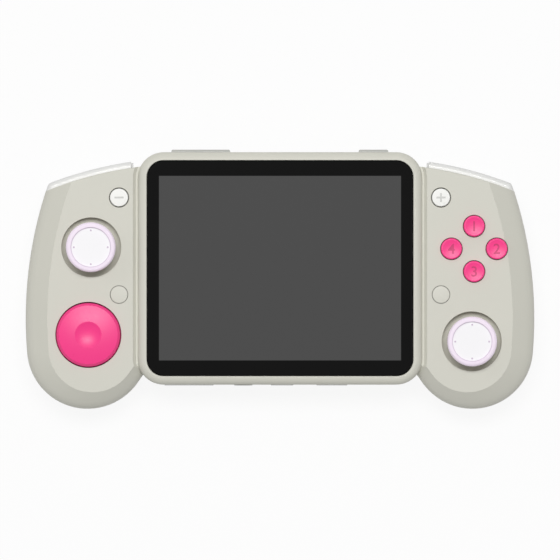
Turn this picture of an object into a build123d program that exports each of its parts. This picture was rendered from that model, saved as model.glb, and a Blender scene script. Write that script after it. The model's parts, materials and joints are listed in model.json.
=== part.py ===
from build123d import *
from math import atan2, copysign, cos, degrees, radians, sin, sqrt
import os

os.makedirs("parts", exist_ok=True)

# The console lies on its back: the screen faces +Z, the shoulder keys point to +Y, the right grip is at +X.
# Lengths are millimetres, angles are degrees.

# Fits shared by many pieces
wall = 1.8
slide_gap = 0.3
seat_gap = 0.15
pin_gap = 0.1
overrun = 1.0

# Display, cover glass and centre body, each a border wider than the one inside it
active_width = 70.2
active_length = 53.5
lcd_side_border = 1.4
lcd_end_border = 2.55
glass_side_border = 2.1
glass_end_border = 1.9
body_side_border = 2.75
body_end_border = 2.55
lcd_width = active_width + 2 * lcd_side_border
lcd_length = active_length + 2 * lcd_end_border
glass_width = lcd_width + 2 * glass_side_border
glass_length = lcd_length + 2 * glass_end_border
body_width = glass_width + 2 * body_side_border
body_length = glass_length + 2 * body_end_border
body_half = body_width / 2
body_corner = 7.6
body_y = 3.2
body_top = 22.5
body_back = 6.0
body_edge = 2.2
back_edge = 2.6
inner_edge = 0.6

# Grip wings: a round lobe at the bottom, a long side arc, and a shoulder arc at the top.
# Places in a wing are measured outwards from the centre body's side.
lobe_out = 14.65
lobe_x = body_half + lobe_out
lobe_y = -20.0
lobe_radius = 17.65
lobe_end = 35.0
side_radius = 120.0
side_contact = 4.87
shoulder_radius = 110.0
shoulder_in = 14.35
shoulder_x = body_half - shoulder_in
shoulder_top = 33.6
wing_overlap = 5.35
wing_inner = body_half - wing_overlap
wing_top = 21.6
shoulder_edge = 0.5
parting = 12.0

# Soft bevel round the front of a wing, and the rounder back that fits the palm
band_foot = 15.4
band_inset = 4.9
band_shift = 1.6
band_shares = ((0, 0), (0.03, 0.16), (0.10, 0.31), (0.22, 0.45), (0.40, 0.60), (1, 1))
palm_foot = 9.0
palm_inset = 7.0
palm_shares = ((0, 1), (0.02, 0.85), (0.07, 0.68), (0.16, 0.50), (0.30, 0.32), (0.52, 0.15), (0.76, 0.05),
               (1, 0))
palm_knee_inset = 2.6
palm_knee = 4.4
band_knee = 18.7
band_wall = 1.0
groove_width = 0.5
groove_depth = 1.0
groove_slope = 40.0

# Screen
glass_corner = 4.8
glass_y = 3.28
glass_thickness = 1.1
glass_drop = 0.2
adhesive_thickness = 0.2
lcd_thickness = 2.6
active_depth = 0.1
bracket_thickness = 0.8
bracket_window = 8.0
bracket_tab = 1.25
bracket_screw_out = 1.8
bracket_screw_x = lcd_width / 2 + bracket_screw_out
bracket_screw_ys = (-12.0, 20.0)

# Boards, battery and sockets
board_thickness = 1.0
board_top = 15.2
board_side_gap = 2.6
board_end_gap = 4.35
board_width = body_width - 2 * board_side_gap
board_length = body_length - 2 * board_end_gap
board_corner = 5.0
board_y = 1.5
board_screw_in = 5.15
board_screw_x = body_half - board_screw_in
board_screw_ys = (-22.0, 26.5)
chip_width = 14.0
chip_height = 1.0
memory_width = 9.0
memory_x = 14.0
chip_y = 6.0
shield_width = 42.0
shield_length = 20.0
shield_height = 1.7
shield_sheet = 0.2
battery_width = 60.0
battery_length = 42.0
battery_thickness = 4.8
battery_corner = 1.5
battery_y = 9.0
socket_proud = 0.3
socket_gap = 0.2
socket_sheet = 0.3
usb_x = 15.1
usb_width = 8.94
usb_height = 3.2
usb_length = 7.4
usb_tongue = 0.7
usb_tongue_width = 6.7
video_x = 0.6
video_width = 6.5
video_height = 3.0
video_length = 7.5
video_tongue = 0.6
jack_x = -10.7
jack_radius = 2.65
jack_bore = 1.8
jack_length = 13.5
jack_wall = 0.9
card_x = -26.5
card_width = 14.2
card_height = 1.9
card_length = 14.8
card_mouth_width = 11.4
card_mouth_height = 1.0
flex_sheet = 0.2
screen_flex_width = 14.0
screen_flex_reach = 2.2
wing_flex_y = -17.0
wing_flex_width = 6.0

# Control boards in the wings
control_inset = 3.4
control_top_inset = 5.8
control_inner_inset = 6.5
control_post_radius = 1.5
left_post_outs = ((24.95, -2.0), (3.25, 3.4), (5.65, -27.0))
left_post_places = [(-body_half - out, y) for out, y in left_post_outs]
right_post_outs = ((24.95, -4.5), (3.25, -23.0), (10.15, 22.0))
right_post_places = [(body_half + out, y) for out, y in right_post_outs]
switch_width = 3.4
switch_height = 1.4

# Thumb sticks
left_stick_out = 13.4
left_stick_y = 9.32
right_stick_out = 14.25
right_stick_y = -17.97
stick_places = {"left": (-body_half - left_stick_out, left_stick_y),
                "right": (body_half + right_stick_out, right_stick_y)}
stick_recess = 8.7
recess_depth = 3.4
recess_floor = 0.8
recess_wall = 1.2
dust_hole = 6.2
stick_pivot = 13.5
dome_radius = 7.0
dome_wall = 0.8
dome_reach = 72.0
cap_radius = 7.2
cap_lift = 3.6
cap_height = 2.4
cap_round = 0.8
cap_disc = 5.75
cap_step = 0.6
cap_tick = 0.28
cap_tick_height = 0.15
cap_tick_reach = 4.9
stem_radius = 2.4
stem_tip = 1.85
stem_plug = 1.05
stem_fit = 0.05
stem_foot = 1.5
stem_tail = 1.6
gimbal_pin = 0.7
yoke_inner = 3.0
yoke_outer = 4.2
yoke_height = 2.6
ear_reach = 5.4
ear_thickness = 0.8
ear_width = 2.4
ear_rise = 0.9
cradle_width = 15.0
cradle_thickness = 0.8
can_width = 16.6
can_sheet = 0.4
can_base = 8.3
can_switch = 1.5
can_switch_height = 0.3
click_travel = 0.3
stick_post = 1.5
stick_post_reach = 6.5

# Direction disc
dpad_out = 14.25
dpad_x = -body_half - dpad_out
dpad_y = -16.08
dpad_radius = 9.2
dpad_gap = 0.4
dpad_rim = 0.45
dpad_bevel = 0.7
dpad_crown = 1.0
dpad_dimple = 4.3
dpad_dimple_depth = 0.9
dpad_flange = 1.05
dpad_flange_thickness = 1.1
dpad_hollow = 7.2
dpad_roof = 2.4
dpad_pivot = 17.5
dpad_foot = 1.0
dpad_foot_reach = 8.0
dpad_foot_drop = 0.45
spider_pin = 0.8
spider_hub = 1.7
spider_hub_height = 2.2
pivot_ear_reach = 5.8
pivot_ear_thickness = 1.0
pivot_ear_width = 3.0
pivot_ear_rise = 1.1
pivot_base = 5.9
pivot_base_thickness = 0.6

# Face buttons
button_out = 14.95
button_x = body_half + button_out
button_y = 8.9
button_reach = 6.58
button_radius = 3.05
button_gap = 0.15
button_lift = 1.3
button_hollow = 0.35
button_edge = 0.35
button_foot = 17.0
button_flange = 0.5
button_flange_gap = 0.8
button_flange_thickness = 1.1
dish_radius = 5.4
dish_depth = 0.25

# Small keys of the wings
key_out = 5.35
key_x = body_half + key_out
key_y = 23.77
key_radius = 2.6
key_gap = 0.22
key_lift = 0.5
key_crown = 0.1
key_edge = 0.2
key_travel = 0.3
key_flange = 0.6
key_flange_thickness = 0.6
function_y = -4.39
function_radius = 2.5
function_gap = 0.12
function_lift = 0.05

# Rubber mats
mat_thickness = 0.6
mat_height = 0.85
dpad_mat_inner = 6.4
dpad_mat_outer = 9.6
dpad_bump = 1.4
button_mat_radius = 11.0
button_bump = 2.9
bump_taper = 30.0

# Shoulder bumpers and triggers
bumper_proud = 1.9
trigger_proud = 1.6
shoulder_depth = 1.5
shoulder_corner = 1.6
bumper_low = 10.6
bumper_high = 15.2
shoulder_round = 1.4
trigger_low = 5.4
trigger_high = 10.2
bumper_angle = 3.0
trigger_angle = 4.5
bumper_out = 2.05
bumper_end = body_half + bumper_out
trigger_out = 1.55
trigger_end = body_half + trigger_out
pin_out = 3.25
pin_x = body_half + pin_out
pin_y = 28.6
pin_radius = 0.8
pin_low = 3.6
pin_high = 16.2
lug_radius = 2.0
nub_out = 17.15
nub_x = body_half + nub_out
nub_radius = 1.0
tact_face_y = 24.6
tact_depth = 1.4
tact_width = 3.4
tact_rest = 0.15
shoulder_board_width = 6.4
shoulder_board_thickness = 1.0
shoulder_board_low = 5.2
shoulder_board_high = 13.9
shoulder_board_out = 16.35
shoulder_board_x = body_half + shoulder_board_out

# Volume rocker and power key on the top edge
top_key_z = 14.6
top_key_height = 3.2
top_key_proud = 0.8
top_key_round = 0.5
top_window_gap = 0.25
volume_in = 18.3
volume_x = volume_in - body_half
volume_width = 17.1
volume_foot_reach = 6.0
volume_foot_width = 1.6
power_in = 14.15
power_x = body_half - power_in
power_width = 8.6
top_flange = 0.8
top_flange_thickness = 0.7
top_flange_gap = 0.5
top_board_back = 3.95
top_board_side_gap = 6.35
top_board_width = body_width - 2 * top_board_side_gap
top_board_height = 4.6
top_switch_depth = 1.0
top_switch_width = 3.0
top_foot_gap = 0.5

# Loudspeakers and their slots in the back
speaker_out = 14.45
speaker_x = body_half + speaker_out
speaker_y = -17.5
speaker_width = 16.0
speaker_length = 8.0
speaker_height = 4.0
speaker_cone = 3.2
speaker_cone_depth = 0.6
slot_count = 5
slot_width = 1.0
slot_length = 6.6
slot_pitch = 2.4

# Fasteners
case_screw_outs = ((14.15, -31.0), (21.85, 20.4), (2.05, -10.0))
case_screw_places = [(body_half + out, y) for out, y in case_screw_outs]
case_head_radius = 1.6
case_head_height = 1.2
case_shank = 0.8
case_shank_length = 8.5
case_seat = 8.0
case_boss = 2.6
case_front_boss = 2.0
counterbore = 1.9
thread_fit = 0.05
board_head_radius = 1.2
board_head_height = 0.8
board_shank = 0.6
board_shank_length = 3.0
board_post = 2.2
board_hole = 0.75
drive_socket = 0.6
drive_depth = 0.4

# Levels and edges that follow from the values above
ceiling = wing_top - wall
floor = body_back + wall
body_bottom_y = body_y - body_length / 2
body_top_y = body_y + body_length / 2
inner_top_y = body_top_y - wall
inner_bottom_y = body_bottom_y + wall
top_board_y = inner_top_y - top_board_back
glass_top = body_top - glass_drop
glass_back = glass_top - glass_thickness
ledge = glass_back - adhesive_thickness
lcd_back = glass_back - lcd_thickness
bracket_back = lcd_back - bracket_thickness
board_back = board_top - board_thickness
recess_z = wing_top - recess_depth
cap_foot = wing_top + cap_lift
cap_top = cap_foot + cap_height
cradle_low = can_base + can_sheet + can_switch_height + click_travel + pin_gap
sides = (("left", -1), ("right", 1))


def arc_point(center, radius, angle):
    return Vector(center.X + radius * cos(radians(angle)), center.Y + radius * sin(radians(angle)))


def direction(center, point):
    return degrees(atan2(point.Y - center.Y, point.X - center.X))


def wing_centers(shift=0):
    """Centres of the lobe, side and shoulder arcs of the left wing."""
    lobe = Vector(-lobe_x + shift, lobe_y)
    side = arc_point(lobe, side_radius - lobe_radius, side_contact)
    top = Vector(-shoulder_x, shoulder_top - shoulder_radius)
    return lobe, side, top


def wing_face(height, inset=0, shift=0, top_inset=0, inner_inset=0):
    """The left wing's outline at one height, drawn in from the lobe, the shoulder and the inner side."""
    lobe, side, top = wing_centers(shift)
    lobe_arc = lobe_radius - inset
    side_arc = side_radius - inset
    top_arc = shoulder_radius - top_inset
    between = top - side
    along = (side_arc**2 - top_arc**2 + between.length**2) / (2 * between.length)
    across = sqrt(side_arc**2 - along**2)
    unit = between.normalized()
    corner = side + unit * along - Vector(-unit.Y, unit.X) * across
    contact = 180 + side_contact
    end = arc_point(lobe, lobe_arc, -lobe_end)
    inner = -wing_inner - inner_inset
    low = Vector(inner, end.Y + (inner - end.X) / cos(radians(90 - lobe_end)) * cos(radians(lobe_end)))
    high = Vector(inner, top.Y + sqrt(top_arc**2 - (inner - top.X) ** 2))
    with BuildSketch(Plane.XY.offset(height), mode=Mode.PRIVATE) as section:
        with BuildLine():
            CenterArc(lobe, lobe_arc, contact, 360 - lobe_end - contact)
            Line(end, low)
            Line(low, high)
            CenterArc(top, top_arc, direction(top, high), direction(top, corner) - direction(top, high))
            CenterArc(side, side_arc, direction(side, corner), contact - direction(side, corner))
        make_face()
    return section.sketch


def body_face(height, inset=0):
    """The centre body's rounded outline at one height."""
    with BuildSketch(Plane.XY.offset(height), mode=Mode.PRIVATE) as section:
        with Locations((0, body_y)):
            RectangleRounded(body_width - 2 * inset, body_length - 2 * inset, body_corner - inset)
    return section.sketch


def plate_at(x, y, width, length, low, high, corner=0):
    """A flat rectangular piece between two heights."""
    with BuildPart(mode=Mode.PRIVATE) as plate:
        with BuildSketch(Plane.XY.offset(low)):
            with Locations((x, y)):
                if corner:
                    RectangleRounded(width, length, corner)
                else:
                    Rectangle(width, length)
        extrude(amount=high - low)
    return plate.part


def post_at(x, y, radius, low, high):
    """An upright round piece between two heights."""
    with BuildPart(mode=Mode.PRIVATE) as post:
        with BuildSketch(Plane.XY.offset(low)):
            with Locations((x, y)):
                Circle(radius)
        extrude(amount=high - low)
    return post.part


def upright(x, y):
    """A plane that stands on edge through a control's axis, with its x along X and its y along Z."""
    return Plane(origin=(x, y, 0), x_dir=(1, 0, 0), z_dir=(0, -1, 0))


def bar_along(axis, center, radius, half_length):
    """A round bar through a point, along X or Y."""
    direction_of = {"x": (1, 0, 0), "y": (0, 1, 0)}[axis]
    with BuildPart(mode=Mode.PRIVATE) as bar:
        with BuildSketch(Plane(origin=center, z_dir=direction_of)):
            Circle(radius)
        extrude(amount=half_length, both=True)
    return bar.part


def socket_nose(x, width, height, corner, low_y, high_y, grow=0):
    """A rounded bar along Y that hangs under the main board, or the room round it."""
    with BuildPart(mode=Mode.PRIVATE) as nose:
        middle = (x, high_y, board_back - height / 2)
        with BuildSketch(Plane(origin=middle, x_dir=(1, 0, 0), z_dir=(0, -1, 0))):
            RectangleRounded(width + 2 * grow, height + 2 * grow, corner + grow)
        extrude(amount=high_y - low_y)
    return nose.part


def shoulder_arc_y(x, inset=0):
    """Height of the shoulder arc at a distance from the middle."""
    return shoulder_top - shoulder_radius + sqrt((shoulder_radius - inset) ** 2 - (x - shoulder_x) ** 2)


def shoulder_face(height, outer, depth, end, grow=0):
    """Plan of a left shoulder key: a band along the shoulder arc between the side arc and its inner end."""
    lobe, side, top = wing_centers()
    with BuildSketch(Plane.XY.offset(height), mode=Mode.PRIVATE) as section:
        with Locations(top):
            Circle(shoulder_radius + outer)
            Circle(shoulder_radius - depth, mode=Mode.SUBTRACT)
        with Locations(side):
            Circle(side_radius + grow, mode=Mode.INTERSECT)
        with Locations((-end - lobe_radius, pin_y)):
            Rectangle(2 * lobe_radius, 2 * lobe_radius, mode=Mode.INTERSECT)
        if not grow:
            fillet(section.vertices().sort_by(Axis.X)[:2].sort_by(Axis.Y)[-1], shoulder_corner)
    return section.sketch


def shoulder_key(sign, low, high, proud, angle, end):
    """A shoulder key with its hinge lug and the nub that presses its switch."""
    middle = (low + high) / 2
    nub_end = tact_face_y + (nub_x - pin_x) * sin(radians(angle)) + tact_rest
    with BuildPart(mode=Mode.PRIVATE) as key:
        extrude(shoulder_face(low, proud, shoulder_depth, end), amount=high - low)
        fillet(rims_of(key, shoulder_radius + proud), shoulder_round)
        add(post_at(-pin_x, pin_y, lug_radius, low, high))
        web_x = -end - lug_radius * 3 / 4
        web_length = shoulder_arc_y(pin_x) - shoulder_depth / 2 - pin_y
        add(plate_at(web_x, pin_y + web_length / 2, lug_radius * 1.5, web_length, low, high))
        add(post_at(-pin_x, pin_y, pin_radius + pin_gap, low - overrun, high + overrun), mode=Mode.SUBTRACT)
        nub_length = shoulder_arc_y(nub_x) - shoulder_depth / 2 - nub_end
        with BuildSketch(Plane(origin=(-nub_x, nub_end, middle), z_dir=(0, 1, 0))):
            Circle(nub_radius)
        extrude(amount=nub_length)
        if sign > 0:
            mirror(about=Plane.YZ, mode=Mode.REPLACE)
    return key.part


def rims_of(part, radius):
    """A round piece's level rims of one radius, from the lowest to the highest."""
    rims = part.edges().filter_by(GeomType.CIRCLE)
    return rims.filter_by(lambda rim: abs(rim.radius / radius - 1) < 1 / 100).sort_by(Axis.Z)


def crowned_face(x, y, radius, foot, rim, crown):
    """Half section of a round piece on the upright plane through its axis; a crown below zero is a hollow."""
    with BuildSketch(upright(x, y), mode=Mode.PRIVATE) as section:
        with BuildLine():
            Polyline((0, rim + crown), (0, foot), (radius, foot), (radius, rim))
            ThreePointArc((radius, rim), (radius / 2, rim + crown * 3 / 4), (0, rim + crown))
        make_face()
    return section.sketch


def round_key(x, y, radius, foot, rim, crown, edge, flange, flange_low, flange_thickness):
    """A round push key, its top crowned or hollow, with a flange that keeps it behind the shell."""
    with BuildPart(mode=Mode.PRIVATE) as key:
        revolve(crowned_face(x, y, radius, foot, rim, crown), axis=Axis((x, y, 0), (0, 0, 1)))
        fillet(rims_of(key, radius)[-1], edge)
        add(post_at(x, y, radius + flange, flange_low, flange_low + flange_thickness))
    return key.part


def screw_at(x, y, seat, up, head_radius, head_height, shank_radius, shank_length):
    """A pan-head screw whose head sits on a seat; up is +1 where the shank points to +Z."""
    head_low = seat - head_height if up > 0 else seat
    shank_low = seat if up > 0 else seat - shank_length
    socket_low = head_low - overrun + drive_depth if up > 0 else head_low + head_height - drive_depth
    with BuildPart(mode=Mode.PRIVATE) as screw:
        add(post_at(x, y, head_radius, head_low, head_low + head_height))
        add(post_at(x, y, shank_radius, shank_low, shank_low + shank_length))
        with BuildSketch(Plane.XY.offset(socket_low)):
            with Locations((x, y)):
                RegularPolygon(drive_socket, 6)
        extrude(amount=overrun, mode=Mode.SUBTRACT)
    return screw.part


# Outer form of the whole case
with BuildPart() as form:
    band_rise = wing_top - band_foot
    loft([wing_face(band_foot + band_rise * up, band_inset * share, band_shift * share)
          for share, up in band_shares], ruled=True)
    extrude(wing_face(palm_foot), amount=band_foot - palm_foot)
    loft([wing_face(palm_foot * up, palm_inset * share, 0, palm_inset * share, palm_inset * share)
          for share, up in palm_shares], ruled=True)
    groove = body_face(wing_top - groove_depth, -groove_width)
    extrude(groove, amount=groove_depth + overrun, taper=-groove_slope, mode=Mode.SUBTRACT)
    upper_rims = form.edges().group_by(Axis.Z)[-1].sort_by(Axis.Y)[-2:]
    fillet(upper_rims.sort_by(SortBy.LENGTH)[-1], shoulder_edge)
    mirror(about=Plane.YZ)
    with BuildPart(mode=Mode.PRIVATE) as body_form:
        extrude(body_face(body_back), amount=body_top - body_back)
        fillet(body_form.faces().sort_by(Axis.Z)[-1].edges(), body_edge)
        fillet(body_form.faces().sort_by(Axis.Z)[0].edges(), back_edge)
    add(body_form.part)

# Hollow inside of the case
with BuildPart() as hollow:
    hollow_foot = band_foot - wall / 2
    knee_inset = band_inset / 2 + band_wall
    top_inset = band_inset + band_wall
    knee_face = (band_knee, knee_inset, band_shift / 2, wall)
    loft([wing_face(hollow_foot, wall, 0, wall), wing_face(*knee_face)], ruled=True)
    loft([wing_face(*knee_face), wing_face(ceiling, top_inset, band_shift, wall)], ruled=True)
    extrude(wing_face(palm_foot, wall, 0, wall), amount=hollow_foot - palm_foot)
    palm_wall = palm_inset + wall / 2
    palm_face = (palm_knee, palm_knee_inset, 0, palm_knee_inset, palm_knee_inset)
    loft([wing_face(wall, palm_wall, 0, palm_wall, palm_wall), wing_face(*palm_face)], ruled=True)
    loft([wing_face(*palm_face), wing_face(palm_foot, wall, 0, wall, wall)], ruled=True)
    mirror(about=Plane.YZ)
    with BuildPart(mode=Mode.PRIVATE) as body_hollow:
        extrude(body_face(floor, wall), amount=ceiling - floor)
        fillet(body_hollow.faces().sort_by(Axis.Z)[0].edges(), inner_edge)
    add(body_hollow.part)

case_screws_all = [(sign * x, y) for name, sign in sides for x, y in case_screw_places]
board_screws_all = [(sign * board_screw_x, y) for name, sign in sides for y in board_screw_ys]
bracket_screws_all = [(sign * bracket_screw_x, y) for name, sign in sides for y in bracket_screw_ys]
control_screws_all = left_post_places + right_post_places
mouth_y = body_bottom_y - socket_proud
sockets = (
    (usb_x, usb_width, usb_height, usb_height / 2 - socket_sheet / 4),
    (video_x, video_width, video_height, video_height / 4),
    (jack_x, 2 * jack_radius, 2 * jack_radius, jack_radius - pin_gap / 2),
    (card_x, card_width, card_height, card_height / 4),
)

# Room in both shells for the sockets, the shoulder keys and the pins
with BuildPart() as socket_room:
    for x, width, height, corner in sockets:
        add(socket_nose(x, width, height, corner, mouth_y - overrun, inner_bottom_y + overrun, socket_gap))
with BuildPart() as shoulder_room:
    for low, high, angle, end in ((bumper_low, bumper_high, bumper_angle, bumper_end),
                                  (trigger_low, trigger_high, trigger_angle, trigger_end)):
        swing = (lobe_x + lobe_radius * 3 / 4 - pin_x) * sin(radians(angle))
        depth = shoulder_depth + swing + slide_gap
        room = shoulder_face(low - slide_gap, wall * 2, depth, end - slide_gap, overrun)
        extrude(room, amount=high - low + 2 * slide_gap)
    mirror(about=Plane.YZ)

# Front shell
with BuildPart() as front_shell:
    add(form.part)
    add(hollow.part, mode=Mode.SUBTRACT)
    split(bisect_by=Plane.XY.offset(parting), keep=Keep.TOP)
    for x, y in stick_places.values():
        add(post_at(x, y, stick_recess + recess_wall, recess_z - recess_floor, wing_top - wall / 2))
    for x, y in case_screws_all:
        add(post_at(x, y, case_front_boss, parting, ceiling + pin_gap))
    for x, y in control_screws_all:
        add(post_at(x, y, control_post_radius, board_top, wing_top - wall / 2))
    for x, y in bracket_screws_all:
        add(post_at(x, y, bracket_tab - pin_gap / 2, lcd_back, ledge - seat_gap))
    for name, sign in sides:
        add(post_at(sign * pin_x, pin_y, lug_radius, bumper_high + slide_gap, wing_top - wall / 2))
    case_hole = case_shank + thread_fit
    case_thread_top = case_seat + case_shank_length + slide_gap
    for x, y in case_screws_all:
        add(post_at(x, y, case_hole, parting - overrun, case_thread_top), mode=Mode.SUBTRACT)
    small_hole = board_shank + thread_fit
    control_thread_top = board_back + board_shank_length + slide_gap
    for x, y in control_screws_all:
        add(post_at(x, y, small_hole, board_top - overrun, control_thread_top), mode=Mode.SUBTRACT)
    bracket_thread_top = bracket_back + board_shank_length + pin_gap
    for x, y in bracket_screws_all:
        add(post_at(x, y, small_hole, lcd_back - overrun, bracket_thread_top), mode=Mode.SUBTRACT)
    pin_seat = pin_radius + thread_fit
    for name, sign in sides:
        add(post_at(sign * pin_x, pin_y, pin_seat, bumper_high - overrun, pin_high + pin_gap),
            mode=Mode.SUBTRACT)
        for y, radius in ((key_y, key_radius + key_gap), (function_y, function_radius + function_gap)):
            add(post_at(sign * key_x, y, radius, ceiling - overrun, wing_top + overrun), mode=Mode.SUBTRACT)
    window_width = lcd_width + 2 * slide_gap
    window_length = lcd_length + 2 * slide_gap
    add(plate_at(0, glass_y, window_width, window_length, ceiling - overrun, ledge + overrun),
        mode=Mode.SUBTRACT)
    add(plate_at(0, glass_y, glass_width + 2 * seat_gap, glass_length + 2 * seat_gap, ledge,
                 body_top + overrun, glass_corner + seat_gap), mode=Mode.SUBTRACT)
    for x, y in stick_places.values():
        add(post_at(x, y, stick_recess, recess_z, wing_top + overrun), mode=Mode.SUBTRACT)
        dust_low = recess_z - recess_floor - overrun
        add(post_at(x, y, dust_hole, dust_low, recess_z + overrun), mode=Mode.SUBTRACT)
    disc_hole = dpad_radius + dpad_gap
    add(post_at(dpad_x, dpad_y, disc_hole, ceiling - overrun, wing_top + overrun), mode=Mode.SUBTRACT)
    dish_ball = (dish_radius**2 + dish_depth**2) / (2 * dish_depth)
    with Locations((button_x, button_y, wing_top - dish_depth + dish_ball)):
        Sphere(dish_ball, mode=Mode.SUBTRACT)
    with BuildSketch(Plane.XY.offset(ceiling - overrun)):
        with Locations((button_x, button_y)):
            with PolarLocations(button_reach, 4):
                Circle(button_radius + button_gap)
    extrude(amount=wall + 2 * overrun, mode=Mode.SUBTRACT)
    half_height = top_key_height / 2 + top_window_gap
    for x, width in ((volume_x, volume_width), (power_x, power_width)):
        add(plate_at(x, inner_top_y + wall / 2, width + 2 * top_window_gap, wall + 2 * overrun,
                     top_key_z - half_height, top_key_z + half_height), mode=Mode.SUBTRACT)
    add(socket_room.part, mode=Mode.SUBTRACT)
    add(shoulder_room.part, mode=Mode.SUBTRACT)
front_shell.part.label = "front_shell"
export_step(front_shell.part, "parts/front_shell.step")

# Rear shell
with BuildPart() as rear_shell:
    add(form.part)
    add(hollow.part, mode=Mode.SUBTRACT)
    split(bisect_by=Plane.XY.offset(parting), keep=Keep.BOTTOM)
    wing_root = wall - slide_gap
    body_root = floor - slide_gap
    for x, y in case_screws_all:
        add(post_at(x, y, case_boss, wing_root, parting))
    for name, sign in sides:
        for y in board_screw_ys:
            add(post_at(sign * board_screw_x, y, board_post, body_root, board_back))
        add(post_at(sign * pin_x, pin_y, lug_radius, pin_low - slide_gap, trigger_low - slide_gap))
        add(plate_at(sign * shoulder_board_x, tact_face_y - tact_depth - shoulder_board_thickness / 2,
                     shoulder_board_width, shoulder_board_thickness, wing_root, shoulder_board_low))
    for x, y in stick_places.values():
        with BuildSketch(Plane.XY.offset(wing_root)):
            with Locations((x, y)):
                with GridLocations(2 * stick_post_reach, 2 * stick_post_reach, 2, 2):
                    Circle(stick_post)
        extrude(amount=can_base - wing_root)
    for x, y in case_screws_all:
        add(post_at(x, y, counterbore, -overrun, case_seat), mode=Mode.SUBTRACT)
        add(post_at(x, y, case_shank + pin_gap, case_seat - overrun, parting + overrun), mode=Mode.SUBTRACT)
    board_thread_low = board_top - board_shank_length - slide_gap
    for x, y in board_screws_all:
        add(post_at(x, y, small_hole, board_thread_low, board_top + overrun), mode=Mode.SUBTRACT)
    for name, sign in sides:
        add(post_at(sign * pin_x, pin_y, pin_seat, pin_low - pin_gap / 2, trigger_low + overrun),
            mode=Mode.SUBTRACT)
        with BuildSketch(Plane.XY.offset(-overrun)):
            with Locations((sign * speaker_x, speaker_y)):
                with GridLocations(slot_pitch, 0, slot_count, 1):
                    SlotOverall(slot_length, slot_width, rotation=90)
        extrude(amount=wall + 2 * overrun, mode=Mode.SUBTRACT)
    add(socket_room.part, mode=Mode.SUBTRACT)
    add(shoulder_room.part, mode=Mode.SUBTRACT)
rear_shell.part.label = "rear_shell"
export_step(rear_shell.part, "parts/rear_shell.step")

# Cover glass, with the edge softened
with BuildPart() as screen_glass:
    add(plate_at(0, glass_y, glass_width, glass_length, glass_back, glass_top, glass_corner))
    chamfer(screen_glass.faces().sort_by(Axis.Z)[-1].edges(), glass_drop)
screen_glass.part.label = "screen_glass"
export_step(screen_glass.part, "parts/screen_glass.step")

# Adhesive frame between the glass and its ledge
with BuildPart() as glass_adhesive:
    add(plate_at(0, glass_y, glass_width - 2 * seat_gap, glass_length - 2 * seat_gap, ledge, glass_back,
                 glass_corner))
    add(plate_at(0, glass_y, window_width, window_length, ledge - overrun, glass_back + overrun),
        mode=Mode.SUBTRACT)
glass_adhesive.part.label = "glass_adhesive"
export_step(glass_adhesive.part, "parts/glass_adhesive.step")

# Display, with its active area sunk a little behind its frame
with BuildPart() as lcd_panel:
    add(plate_at(0, glass_y, lcd_width, lcd_length, lcd_back, glass_back))
    add(plate_at(0, glass_y, active_width, active_length, glass_back - active_depth, glass_back + overrun),
        mode=Mode.SUBTRACT)
lcd_panel.part.label = "lcd_panel"
export_step(lcd_panel.part, "parts/lcd_panel.step")

# Sheet bracket behind the display, screwed to the front shell by four tabs
with BuildPart() as lcd_bracket:
    add(plate_at(0, glass_y, lcd_width, lcd_length, bracket_back, lcd_back))
    for x, y in bracket_screws_all:
        add(post_at(x, y, bracket_tab, bracket_back, lcd_back))
        tab_inner = copysign(lcd_width / 2 - bracket_tab, x)
        add(plate_at((x + tab_inner) / 2, y, abs(x - tab_inner), 2 * bracket_tab, bracket_back, lcd_back))
    with BuildSketch(Plane.XY.offset(bracket_back - overrun)):
        with Locations((0, glass_y)):
            with GridLocations(lcd_width / 3, lcd_length / 3, 3, 3):
                RectangleRounded(lcd_width / 3 - bracket_window, lcd_length / 3 - bracket_window, bracket_tab)
    extrude(amount=bracket_thickness + 2 * overrun, mode=Mode.SUBTRACT)
    for x, y in bracket_screws_all:
        add(post_at(x, y, board_hole, bracket_back - overrun, lcd_back + overrun), mode=Mode.SUBTRACT)
lcd_bracket.part.label = "lcd_bracket"
export_step(lcd_bracket.part, "parts/lcd_bracket.step")

# Main board with its chips
with BuildPart() as main_board:
    add(plate_at(0, board_y, board_width, board_length, board_back, board_top, board_corner))
    add(plate_at(0, chip_y, chip_width, chip_width, board_top, board_top + chip_height))
    for name, sign in sides:
        add(plate_at(sign * memory_x, chip_y, memory_width, chip_width, board_top, board_top + chip_height))
    for x, y in board_screws_all:
        add(post_at(x, y, board_hole, board_back - overrun, board_top + overrun), mode=Mode.SUBTRACT)
main_board.part.label = "main_board"
export_step(main_board.part, "parts/main_board.step")

# Sheet can over the chips
with BuildPart() as chip_shield:
    add(plate_at(0, chip_y, shield_width, shield_length, board_top, board_top + shield_height))
    add(plate_at(0, chip_y, shield_width - 2 * shield_sheet, shield_length - 2 * shield_sheet,
                 board_top - overrun, board_top + shield_height - shield_sheet), mode=Mode.SUBTRACT)
chip_shield.part.label = "chip_shield"
export_step(chip_shield.part, "parts/chip_shield.step")

# Battery, lying on the rear shell's floor
with BuildPart() as battery:
    add(plate_at(0, battery_y, battery_width, battery_length, floor, floor + battery_thickness,
                 battery_corner))
    fillet(battery.faces().filter_by(Axis.Z).edges(), battery_corner / 2)
battery.part.label = "battery"
export_step(battery.part, "parts/battery.step")

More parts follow.
